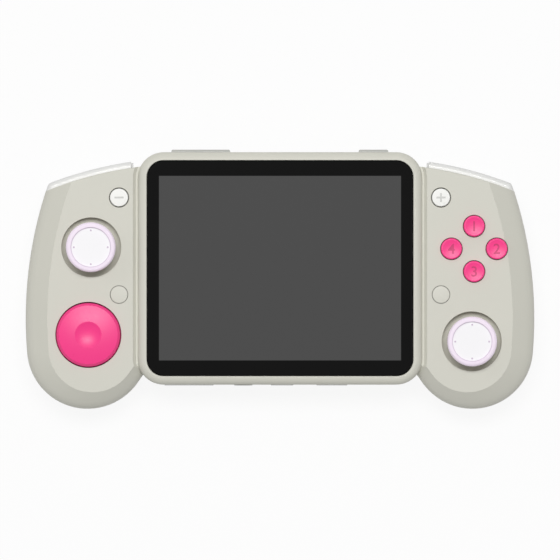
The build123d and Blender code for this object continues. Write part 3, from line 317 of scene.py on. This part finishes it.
class Paint(NodeWork):
    """A material in the making, on Object coordinates in metres."""

    def __init__(self, name):
        self.material = bpy.data.materials.new(name)
        self.material.use_nodes = True
        self.tree = self.material.node_tree
        self.tree.nodes.clear()
        self.shader = self.tree.nodes.new("ShaderNodeBsdfPrincipled")
        output = self.tree.nodes.new("ShaderNodeOutputMaterial")
        self.tree.links.new(self.shader.outputs[0], output.inputs["Surface"])
        self.place = self.node("ShaderNodeTexCoord", {}, {}, "Object")

    @cached_property
    def axes(self):
        """The place's X, Y and Z."""
        parts = self.tree.nodes.new("ShaderNodeSeparateXYZ")
        self.feed(parts.inputs[0], self.place)
        return [Value(self, socket) for socket in parts.outputs]

    def noise(self, width, detail=2.0, stretch=(1, 1, 1)):
        """Noise from 0 to 1 whose spots are about that wide."""
        spread = self.node("ShaderNodeMapping", {}, {"Vector": self.place, "Scale": stretch})
        return self.node("ShaderNodeTexNoise", {}, {"Vector": spread, "Scale": 1 / width, "Detail": detail})

    def grain(self, width):
        """Noise for a fine texture."""
        return self.noise(width, 3.0)

    def away(self, node):
        """Distance from the upright line through a part's middle."""
        x, y, _ = self.axes
        middle = centre(node)
        return ((x - middle.x) ** 2 + (y - middle.y) ** 2) ** 0.5

    def rise(self, value, low, high):
        """0 below low, 1 above high, and smooth between them."""
        return self.node("ShaderNodeMapRange", {"interpolation_type": "SMOOTHSTEP"},
                         {"Value": value, "From Min": low, "From Max": high})

    def mix(self, share, first, second):
        """The first colour where share is 0, the second where it is 1."""
        first, second = [(*c, 1) if not isinstance(c, Value) and len(c) == 3 else c for c in (first, second)]
        return self.node("ShaderNodeMix", {"data_type": "RGBA"}, {0: share, 6: first, 7: second}, 2)

    def shaded(self, colour, amount, width):
        """A colour with soft clouds a little lighter and darker than itself."""
        dark, light = [tuple(min(c * (1 + sign * amount), 1.0) for c in colour) for sign in (-1, 1)]
        return self.mix(self.noise(width), dark, light)

    def bump(self, height, depth):
        """A normal for a surface that is that deep where height is 1."""
        return self.node("ShaderNodeBump", {}, {"Height": height, "Distance": depth, "Strength": 1.0})

    def set(self, **values):
        """Feeds the surface shader; a socket's name is written with underscores."""
        for name, value in values.items():
            label = name.replace("_", " ")
            if not isinstance(value, (Value, float, int)) and len(value) == 3:
                value = (*value, 1)
            self.feed(self.shader.inputs[label], value)
        return self.material


class Growth(NodeWork):
    """A geometry tree in the making, with named inputs."""

    def __init__(self, name, inputs):
        self.tree = bpy.data.node_groups.new(name, "GeometryNodeTree")
        self.tree.is_modifier = True
        for label, kind in inputs.items():
            self.tree.interface.new_socket(name=label, in_out="INPUT", socket_type="NodeSocket" + kind)
        self.tree.interface.new_socket(name="Geometry", in_out="OUTPUT", socket_type="NodeSocketGeometry")
        self.given = self.tree.nodes.new("NodeGroupInput")
        self.result = self.tree.nodes.new("NodeGroupOutput")

    def input(self, label):
        """What the tree is given under that name."""
        return Value(self, self.given.outputs[label])

    def close(self, shape):
        """Turns the copies into real mesh and gives them their material."""
        real = self.node("GeometryNodeRealizeInstances", {}, {"Geometry": shape})
        painted = self.node("GeometryNodeSetMaterial", {},
                            {"Geometry": real, "Material": self.input("Material")})
        self.feed(self.result.inputs[0], painted)
        return self.tree


def ring_tree():
    """Upright round ribs on a circle."""
    work = Growth("ring of ribs", {"Count": "Int", "Radius": "Float", "Rib radius": "Float",
                                   "Rib length": "Float", "Middle": "Vector", "Material": "Material"})
    circle = work.node("GeometryNodeMeshCircle", {}, {"Vertices": work.input("Count"),
                                                      "Radius": work.input("Radius")})
    rib = work.node("GeometryNodeMeshCylinder", {}, {"Vertices": 10, "Radius": work.input("Rib radius"),
                                                     "Depth": work.input("Rib length")})
    copies = work.node("GeometryNodeInstanceOnPoints", {}, {"Points": circle, "Instance": rib})
    placed = work.node("GeometryNodeTransform", {}, {"Geometry": copies, "Translation": work.input("Middle")})
    return work.close(placed)


def row_tree():
    """Small blocks in a row."""
    work = Growth("row of blocks", {"Count": "Int", "Start": "Vector", "Step": "Vector", "Size": "Vector",
                                    "Material": "Material"})
    line = work.node("GeometryNodeMeshLine", {}, {"Count": work.input("Count"),
                                                  "Start Location": work.input("Start"),
                                                  "Offset": work.input("Step")})
    block = work.node("GeometryNodeMeshCube", {}, {"Size": work.input("Size")})
    copies = work.node("GeometryNodeInstanceOnPoints", {}, {"Points": line, "Instance": block})
    return work.close(copies)


# Pieces

def link(piece):
    """Puts an object into the scene."""
    bpy.context.scene.collection.objects.link(piece)
    return piece


def settle(piece, node, replace=False):
    """The piece rides with the part it sits on, and may stand for it."""
    if replace:
        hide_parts(node)
    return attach(piece, BODY_OF[node])


def grown(name, tree, values, node):
    """A plain mesh made by a geometry tree, on the body that carries a part."""
    piece = link(bpy.data.objects.new(name, bpy.data.meshes.new(name)))
    live = piece.modifiers.new("growth", "NODES")
    live.node_group = tree
    for item in tree.interface.items_tree:
        if item.item_type == "SOCKET" and item.in_out == "INPUT":
            live[item.identifier] = values[item.name]
    ready = piece.evaluated_get(bpy.context.evaluated_depsgraph_get())
    mesh = bpy.data.meshes.new_from_object(ready)
    piece.modifiers.remove(live)
    piece.data = mesh
    return settle(piece, node)


def joined(node):
    """A part's shape with its loose triangles joined."""
    shape = bmesh.new()
    shape.from_mesh(frame["nodes"][node].data)
    bmesh.ops.remove_doubles(shape, verts=shape.verts, dist=WELD)
    bmesh.ops.dissolve_degenerate(shape, edges=shape.edges, dist=WELD)
    return shape


def skin(name, shape, material, crease=CREASE):
    """A worked shape as a piece, shaded smoothly where its faces meet at less than the crease."""
    shape.verts.index_update()
    points = [vertex.co[:] for vertex in shape.verts]
    faces = [[vertex.index for vertex in face.verts] for face in shape.faces]
    shape.free()
    mesh = bpy.data.meshes.new(name)
    mesh.from_pydata(points, [], faces)
    mesh.materials.append(material)
    mesh.shade_smooth()
    mesh.set_sharp_from_angle(angle=crease)
    return link(bpy.data.objects.new(name, mesh))


def dress(node, material, crease=CREASE):
    """A joined and smoothly shaded copy of a part, which stands for it."""
    piece = skin(node + "_skin", joined(node), material, crease)
    even = piece.modifiers.new("even shading", "WEIGHTED_NORMAL")
    even.keep_sharp = True
    even.weight = 100
    return settle(piece, node, replace=True)


def mat_quarter(node, name, material):
    """The quarter of a rubber mat under one control."""
    middle = centre(node)
    toward = MAT_QUARTERS[name]
    shape = joined(node)
    for turn in (-1, 1):
        across = turn * Vector((-toward.y, toward.x, 0))
        bmesh.ops.bisect_plane(shape, geom=[*shape.verts, *shape.edges, *shape.faces], dist=CUT_SLACK,
                               plane_co=middle, plane_no=toward + across, clear_inner=True)
        bmesh.ops.holes_fill(shape, edges=[edge for edge in shape.edges if edge.is_boundary])
    bmesh.ops.recalc_face_normals(shape, faces=shape.faces)
    piece = settle(skin(node + "_" + name, shape, material), node, replace=True)
    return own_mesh(piece)


def skirt(node, material):
    """A thin plate behind the outer end of a shoulder key, over most of the slot that the key swings in."""
    side, kind = node.split("_")
    out = -MM if side == "left" else MM
    top, foot = SKIRT_ENDS
    outline = ((0, top), (SKIRT_THICKNESS, top), (SKIRT_THICKNESS, foot), (0, foot))
    shape = bmesh.new()
    low, high = ([shape.verts.new((out * (reach - inward), along * MM, height * MM))
                  for inward, along in outline] for reach, height in SKIRT_FACES[kind])
    shape.faces.new(low)
    shape.faces.new(high)
    for corner in range(len(outline)):
        shape.faces.new((low[corner - 1], low[corner], high[corner], high[corner - 1]))
    bmesh.ops.recalc_face_normals(shape, faces=shape.faces)
    return settle(skin(node + "_skirt", shape, material), node)


def carry(material, *nodes):
    """Parts that keep their own mesh get a material."""
    for node in nodes:
        mesh = frame["nodes"][node].data
        mesh.materials.clear()
        mesh.materials.append(material)


def mark(text, node, size, height, stroke, material):
    """A sign laid on a key's top, raised a little all over and following the key's curve."""
    middle = centre(node)
    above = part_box(node)[1].z + MM
    carried = frame["nodes"][node].data
    top = BVHTree.FromPolygons([vertex.co for vertex in carried.vertices],
                               [face.vertices[:] for face in carried.polygons])
    curve = bpy.data.curves.new(node + "_mark", "FONT")
    curve.body = text
    curve.size = size
    curve.align_x = "CENTER"
    curve.align_y = "CENTER"
    curve.offset = stroke
    curve.resolution_u = MARK_STEPS
    curve.extrude = 2 * height
    writing = link(bpy.data.objects.new(node + "_mark", curve))
    ready = writing.evaluated_get(bpy.context.evaluated_depsgraph_get())
    mesh = bpy.data.meshes.new_from_object(ready)
    bpy.data.objects.remove(writing)
    shape = bmesh.new()
    shape.from_mesh(mesh)
    bmesh.ops.remove_doubles(shape, verts=shape.verts, dist=MARK_WELD)
    long_edges = [edge for edge in shape.edges if edge.calc_length() > MARK_EDGE]
    bmesh.ops.subdivide_edges(shape, edges=long_edges, cuts=MARK_CUTS)
    bmesh.ops.triangulate(shape, faces=shape.faces)
    bmesh.ops.recalc_face_normals(shape, faces=shape.faces)
    spread = [[vertex.co[axis] for vertex in shape.verts] for axis in (0, 1)]
    shift = [(min(places) + max(places)) / 2 for places in spread]
    for vertex in shape.verts:
        x, y = middle.x + vertex.co.x - shift[0], middle.y + vertex.co.y - shift[1]
        ground = top.ray_cast(Vector((x, y, above)), Vector((0, 0, -1)))[0].z
        vertex.co = Vector((x, y, ground - height + vertex.co.z))
    shape.to_mesh(mesh)
    shape.free()
    mesh.materials.clear()
    mesh.materials.append(material)
    return settle(link(bpy.data.objects.new(node + "_mark", mesh)), node)


# Materials

def around(level, noise, swing):
    """A level that a noise moves up and down, by that swing in all."""
    return level + (noise - 0.5) * swing


def moulded(name, colour, roughness, grain, depth, coat=0.0, clouds=0.02, gloss=0.5):
    """Moulded plastic: faint clouds, and a fine grain in its gloss and height."""
    paint = Paint(name)
    fine = paint.grain(grain)
    return paint.set(Base_Color=paint.shaded(colour, clouds, 14 * MM),
                     Roughness=around(roughness, fine, 0.16), Normal=paint.bump(fine, depth),
                     Coat_Weight=coat, Specular_IOR_Level=gloss)


def shell_paint(looks):
    """Grained plastic with painted shade in the sunk rings round the sticks, fine painted shade lines round
    the holes, and a dark line at the seam.
    """
    paint = Paint("shell plastic")
    z = paint.axes[2]
    colour = paint.shaded(looks.plastic, 0.018, 22 * MM)
    grip_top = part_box("front_shell")[1].z - FRAME_RISE
    outside = paint.rise(z, grip_top - 1.2 * MM, grip_top - 0.6 * MM)
    # Painted shade: the sunk ring round each stick, below the grips' top, is darkened for the shade in its
    # recess
    for side in SIDES:
        ring = 1 - paint.rise(paint.away(side + "_stick_cap"), *RING_EDGE)
        low = 1 - paint.rise(z, grip_top - 0.4 * MM, grip_top - 0.15 * MM)
        colour = paint.mix(ring * low, colour, looks.ring_shade)
    # Painted shade: a dark line round each control's hole stands for the shadow in the gap
    for node, (radius, width, strength) in HOLE_SHADE_LINES.items():
        edge = radius + width
        line = 1 - paint.rise(paint.away(node), edge, edge + LINE_FADE)
        colour = paint.mix(line * outside * strength, colour, looks.hole_shade_and_seam)
    seam_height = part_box("rear_shell")[1].z
    seam = 1 - paint.rise(abs(z - seam_height), looks.seam, 2 * looks.seam)
    colour = paint.mix(seam * 0.7, colour, looks.hole_shade_and_seam)
    fine = paint.grain(looks.grain)
    height = fine - seam * 3
    return paint.set(Base_Color=colour, Roughness=around(0.5, fine, 0.2),
                     Normal=paint.bump(height, looks.grain_depth), Specular_IOR_Level=0.35)


def glass_paint(looks):
    """Cover glass: black print round the edge, and the dark display behind it."""
    paint = Paint("cover glass")
    x, y, _ = paint.axes
    middle = centre("screen_glass")
    inside = (looks.width / 2 - abs(x - middle.x)).least(looks.length / 2 - abs(y - middle.y))
    window = paint.rise(inside, -0.05 * MM, 0.05 * MM)
    display = paint.shaded(looks.display, 0.01, 30 * MM)
    smear = paint.noise(9 * MM, 4.0)
    return paint.set(Base_Color=paint.mix(window, looks.border, display), Roughness=0.06 + smear * 0.05,
                     Specular_IOR_Level=0.05)


def cap_paint(looks, node):
    """Stick cap: a tinted rim, a fine line, and a pale middle with a rubbed surface."""
    paint = Paint(node + " rubber")
    away = paint.away(node)
    colour = paint.mix(paint.rise(away, *CAP_MIDDLE), looks.cap_middle, looks.cap_rim)
    line = 1 - paint.rise(abs(away - CAP_LINE), 0.06 * MM, 0.2 * MM)
    colour = paint.mix(line * 0.8, colour, looks.cap_line)
    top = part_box(node)[1].z
    inside = 1 - paint.rise(away, *TICK_EDGE)
    tick = paint.rise(paint.axes[2], *(top - depth for depth in TICK_DEPTH)) * inside
    colour = paint.mix(tick, colour, looks.cap_line)
    fine = paint.grain(0.3 * MM)
    return paint.set(Base_Color=colour, Roughness=around(0.58, fine, 0.2),
                     Normal=paint.bump(fine, 0.006 * MM))


def brushed(name, colour, roughness):
    """Sheet metal with rolling lines along Y."""
    paint = Paint(name)
    lines = paint.noise(3 * MM, 4.0, (40, 1, 1))
    return paint.set(Base_Color=paint.mix(lines, tuple(c * 0.82 for c in colour), colour),
                     Roughness=around(roughness, lines, 0.15), Metallic=1.0,
                     Normal=paint.bump(lines, 0.004 * MM))


def board_paint():
    """Circuit board: solder mask with faint tracks under it and dark chips on top."""
    paint = Paint("solder mask")
    z = paint.axes[2]
    wave = paint.node("ShaderNodeTexWave", {"wave_profile": "TRI"},
                      {"Vector": paint.place, "Scale": 0.5 / MM, "Distortion": 6.0, "Detail": 1.0}, 1)
    track = paint.rise(wave, 0.62, 0.68)
    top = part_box("left_control_board")[1].z - 1.4 * MM
    chip = paint.rise(z, top + 0.1 * MM, top + 0.2 * MM)
    green = paint.mix(track, linear(18, 70, 40), linear(34, 98, 58))
    return paint.set(Base_Color=paint.mix(chip, green, linear(30, 30, 32)), Roughness=0.32 + chip * 0.25,
                     Normal=paint.bump(track, 0.02 * MM))


# Operators, one for each group of pieces

class CONSOLE_OT_shells(bpy.types.Operator):
    """Front and rear shell with the function keys, in grained plastic"""
    bl_idname = "console.shells"
    bl_label = "Shells"

    def execute(self, context):
        looks = context.scene.console_shell
        plastic = shell_paint(looks)
        for node in ("front_shell", "rear_shell"):
            dress(node, plastic, looks.smooth_angle)
        key = moulded("function key plastic", looks.plastic, 0.5, looks.grain, looks.grain_depth)
        for side in SIDES:
            dress(side + "_function_key", key)
        return {"FINISHED"}


class CONSOLE_OT_shoulders(bpy.types.Operator):
    """Bumpers, triggers, and the volume and power keys"""
    bl_idname = "console.shoulders"
    bl_label = "Shoulder and edge keys"

    def execute(self, context):
        looks = context.scene.console_shell
        satin = moulded("shoulder plastic", looks.bumper, 0.34, looks.grain, 0.003 * MM, coat=0.1)
        for side in SIDES:
            for key in SKIRT_FACES:
                dress(side + "_" + key, satin)
                skirt(side + "_" + key, satin)
        # Painted shade: the edge keys' white plastic is painted grey for the shade it stands in
        edge = moulded("edge key plastic", looks.edge_key_shade, 0.45, looks.grain, 0.004 * MM)
        for node in ("volume_rocker", "power_key"):
            dress(node, edge)
        return {"FINISHED"}


class CONSOLE_OT_screen(bpy.types.Operator):
    """Cover glass, display, adhesive and bracket"""
    bl_idname = "console.screen"
    bl_label = "Screen"

    def execute(self, context):
        looks = context.scene.console_screen
        dress("screen_glass", glass_paint(looks))
        carry(moulded("adhesive foam", linear(24, 24, 24), 0.8, 0.3 * MM, 0.02 * MM), "glass_adhesive")
        carry(moulded("display film", looks.display, 0.3, 0.4 * MM, 0.002 * MM), "lcd_panel")
        carry(brushed("bracket steel", linear(176, 177, 178), 0.34), "lcd_bracket")
        return {"FINISHED"}


class CONSOLE_OT_sticks(bpy.types.Operator):
    """Both thumb sticks: cap with grip ribs, dome, and the gimbal under it"""
    bl_idname = "console.sticks"
    bl_label = "Thumb sticks"

    def execute(self, context):
        looks = context.scene.console_controls
        shell = context.scene.console_shell
        # The stems take the stick ring's painted shade colour
        stem = moulded("stem plastic", shell.ring_shade, 0.42, 0.2 * MM, 0.004 * MM)
        gimbal = moulded("gimbal plastic", linear(38, 38, 40), 0.4, 0.2 * MM, 0.004 * MM)
        rim = moulded("cap rim rubber", looks.cap_rim, 0.6, 0.3 * MM, 0.006 * MM)
        tree = ring_tree()
        for side in SIDES:
            cap = side + "_stick_cap"
            dress(cap, cap_paint(looks, cap))
            dress(side + "_stick_stem", stem)
            carry(gimbal, side + "_stick_cradle", side + "_stick_yoke")
            reach = half_width(cap) + looks.rib_proud - looks.rib_radius
            grown(cap + "_ribs", tree, {"Count": looks.rib_count, "Radius": reach,
                                        "Rib radius": looks.rib_radius, "Rib length": looks.rib_length,
                                        "Middle": centre(cap), "Material": rim}, cap)
            carry(brushed(side + " can steel", linear(188, 188, 186), 0.3), side + "_stick_can")
        return {"FINISHED"}


class CONSOLE_OT_buttons(bpy.types.Operator):
    """Direction disc, face buttons with numerals, and the white keys with their signs"""
    bl_idname = "console.buttons"
    bl_label = "Disc, buttons and keys"

    def execute(self, context):
        looks = context.scene.console_controls
        pink = moulded("pink plastic", looks.pink, 0.36, 0.5 * MM, 0.002 * MM, clouds=0.012, gloss=0.38)
        dress("dpad_disc", pink, looks.disc_crease)
        carry(brushed("spider steel", linear(180, 180, 180), 0.3), "dpad_spider")
        bearing = moulded("bearing plastic", linear(40, 40, 42), 0.45, 0.2 * MM, 0.004 * MM)
        carry(bearing, "dpad_pivot_bracket")
        ink = moulded("numeral ink", looks.mark_pink, 0.5, 0.2 * MM, 0.002 * MM)
        for node, text in FACE_BUTTONS.items():
            dress(node, pink, looks.disc_crease)
            mark(text, node, looks.numeral_size, looks.mark_height, looks.stroke, ink)
        white = moulded("white key plastic", looks.white_key, 0.45, 0.3 * MM, 0.002 * MM, clouds=0.005,
                        gloss=0.2)
        grey = moulded("sign ink", looks.mark_grey, 0.5, 0.2 * MM, 0.002 * MM)
        for node, text in WHITE_KEYS.items():
            dress(node, white)
            mark(text, node, looks.mark_size, looks.mark_height, looks.stroke, grey)
        rubber = moulded("mat rubber", linear(186, 186, 180), 0.7, 0.3 * MM, 0.01 * MM)
        for name, toward in MAT_QUARTERS.items():
            mat_quarter("left_mat", name, rubber)
            mat_quarter("right_mat", name, rubber)
        return {"FINISHED"}


class CONSOLE_OT_sockets(bpy.types.Operator):
    """Sockets along the lower edge, with the contacts on their tongues"""
    bl_idname = "console.sockets"
    bl_label = "Sockets"

    def execute(self, context):
        steel = brushed("socket steel", linear(196, 196, 196), 0.26)
        for node in ("usb_c_port", "video_port", "card_slot"):
            dress(node, steel)
        dress("headphone_jack", moulded("jack plastic", linear(150, 150, 146), 0.4, 0.2 * MM, 0.004 * MM))
        gold = brushed("contact gold", linear(214, 176, 92), 0.25)
        tree = row_tree()
        for node, (count, pitch, thickness) in CONTACTS.items():
            low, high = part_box(node)
            middle = (low + high) / 2
            for name, sign in (("upper", 1), ("lower", -1)):
                start = (middle.x - pitch * (count - 1) / 2, low.y + CONTACT_IN,
                         middle.z + sign * thickness / 2)
                grown(node + "_" + name + "_contacts", tree,
                      {"Count": count, "Start": start, "Step": (pitch, 0, 0),
                       "Size": (pitch / 2, CONTACT_LENGTH, CONTACT_HEIGHT), "Material": gold}, node)
        return {"FINISHED"}


class CONSOLE_OT_insides(bpy.types.Operator):
    """Boards, battery, shield, ribbons and loudspeakers inside the case"""
    bl_idname = "console.insides"
    bl_label = "Insides"

    def execute(self, context):
        carry(board_paint(), "main_board", "left_control_board", "right_control_board", "shoulder_boards",
              "top_key_board")
        carry(brushed("shield steel", linear(198, 198, 194), 0.28), "chip_shield")
        carry(moulded("battery wrap", linear(64, 66, 72), 0.28, 2.5 * MM, 0.02 * MM, clouds=0.08), "battery")
        carry(moulded("ribbon film", linear(196, 128, 48), 0.3, 0.5 * MM, 0.002 * MM), "screen_flex",
              "wing_flexes")
        carry(moulded("speaker plastic", linear(30, 30, 32), 0.5, 0.3 * MM, 0.01 * MM), "left_speaker",
              "right_speaker")
        low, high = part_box("chip_shield")
        ceramic = moulded("part ceramic", linear(168, 140, 104), 0.4, 0.2 * MM, 0.002 * MM)
        tree = row_tree()
        for name, y in (("upper", high.y + PART_AWAY), ("lower", low.y - PART_AWAY)):
            grown("board_parts_" + name, tree,
                  {"Count": PART_COUNT, "Start": (low.x + MM, y, low.z + PART_SIZE[2] / 2),
                   "Step": (PART_PITCH, 0, 0), "Size": PART_SIZE, "Material": ceramic}, "main_board")
        return {"FINISHED"}


class CONSOLE_OT_fasteners(bpy.types.Operator):
    """Screws and pins in steel"""
    bl_idname = "console.fasteners"
    bl_label = "Screws and pins"

    def execute(self, context):
        zinc = brushed("zinc steel", linear(168, 169, 172), 0.3)
        for node in ("case_screws", "board_screws", "shoulder_pins"):
            dress(node, zinc)
        return {"FINISHED"}


class CONSOLE_OT_stage(bpy.types.Operator):
    """Pale floor, soft light and the camera over the screen"""
    bl_idname = "console.stage"
    bl_label = "Stage"

    def execute(self, context):
        scene = context.scene
        looks = scene.console_stage
        scene.view_settings.view_transform = "Standard"
        mesh = bpy.data.meshes.new("floor")
        corners = [(x * FLOOR_REACH, y * FLOOR_REACH, 0) for x, y in ((-1, -1), (1, -1), (1, 1), (-1, 1))]
        mesh.from_pydata(corners, [], [(0, 1, 2, 3)])
        mesh.transform(Matrix.Translation((0, 0, -FLOOR_DROP)))
        mesh.materials.append(self.floor_paint(looks))
        link(bpy.data.objects.new("floor", mesh))
        self.light_room(scene, looks)
        for name, (place, width, length) in LAMPS.items():
            lamp = bpy.data.lights.new(name, "AREA")
            lamp.shape = "RECTANGLE"
            lamp.size = width
            lamp.size_y = length
            lamp.energy = getattr(looks, name + "_power")
            light = link(bpy.data.objects.new(name, lamp))
            light.location = place
            light.rotation_euler = (-place).to_track_quat("-Z", "Y").to_euler()
        camera = bpy.data.cameras.new("camera")
        glass_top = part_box("screen_glass")[1].z
        camera.lens = camera.sensor_width * (looks.camera_height - glass_top) / looks.view_width
        camera.clip_end = 20
        view = link(bpy.data.objects.new("camera", camera))
        view.location = (0, looks.view_y, looks.camera_height)
        scene.camera = view
        return {"FINISHED"}

    def seen(self, work):
        """1 for a ray that should meet plain white: from the camera, a mirror or glass."""
        rays = [work.node("ShaderNodeLightPath", {}, {}, "Is " + kind + " Ray")
                for kind in ("Camera", "Glossy", "Transmission")]
        return rays[0].most(rays[1]).most(rays[2])

    def floor_paint(self, looks):
        """White paper, which rays from the camera, a mirror or glass meet as almost plain white."""
        paint = Paint("floor paper")
        paint.set(Base_Color=(0.9, 0.9, 0.9), Roughness=0.9, Specular_IOR_Level=0.0)
        white = paint.node("ShaderNodeEmission", {}, {"Color": (1, 1, 1, 1), "Strength": 1.0})
        both = paint.node("ShaderNodeMixShader", {}, {0: self.seen(paint) * looks.floor_white,
                                                      1: Value(paint, paint.shader.outputs[0]), 2: white})
        paint.feed(paint.tree.nodes["Material Output"].inputs["Surface"], both)
        return paint.material

    def light_room(self, scene, looks):
        """A dim white world, which rays from the camera, a mirror or glass meet as plain white."""
        room = NodeWork()
        scene.world = bpy.data.worlds.new("room")
        scene.world.use_nodes = True
        room.tree = scene.world.node_tree
        room.tree.nodes.clear()
        pair = [room.node("ShaderNodeBackground", {}, {"Color": (1, 1, 1, 1), "Strength": strength})
                for strength in (looks.room_light, 1.0)]
        both = room.node("ShaderNodeMixShader", {}, {0: self.seen(room), 1: pair[0], 2: pair[1]})
        output = room.tree.nodes.new("ShaderNodeOutputWorld")
        room.feed(output.inputs["Surface"], both)


class CONSOLE_PT_dresser(bpy.types.Panel):
    """Lists the steps that dress the console"""
    bl_idname = "CONSOLE_PT_dresser"
    bl_label = "Console Dresser"
    bl_space_type = "VIEW_3D"
    bl_region_type = "UI"
    bl_category = "Console"

    def draw(self, context):
        for step in STEPS:
            self.layout.operator(step.bl_idname)
        for group in GROUPS:
            box = self.layout.box()
            looks = getattr(context.scene, group)
            for name in looks.bl_rna.properties.keys():
                if name not in ("rna_type", "name"):
                    box.prop(looks, name)


GROUPS = {"console_shell": ShellLooks, "console_screen": ScreenLooks, "console_controls": ControlLooks,
          "console_stage": StageLooks}
STEPS = (CONSOLE_OT_stage, CONSOLE_OT_shells, CONSOLE_OT_shoulders, CONSOLE_OT_screen, CONSOLE_OT_sticks,
         CONSOLE_OT_buttons, CONSOLE_OT_sockets, CONSOLE_OT_insides, CONSOLE_OT_fasteners)


def register():
    for kind in (*GROUPS.values(), *STEPS, CONSOLE_PT_dresser):
        bpy.utils.register_class(kind)
    for name, kind in GROUPS.items():
        setattr(bpy.types.Scene, name, bpy.props.PointerProperty(type=kind))


def unregister():
    for name in GROUPS:
        delattr(bpy.types.Scene, name)
    for kind in reversed((*GROUPS.values(), *STEPS, CONSOLE_PT_dresser)):
        bpy.utils.unregister_class(kind)


def main():
    """Dresses the console step by step."""
    register()
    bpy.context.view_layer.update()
    for step in STEPS:
        group, name = step.bl_idname.split(".")
        getattr(getattr(bpy.ops, group), name)()


if __name__ == "__main__":
    main()
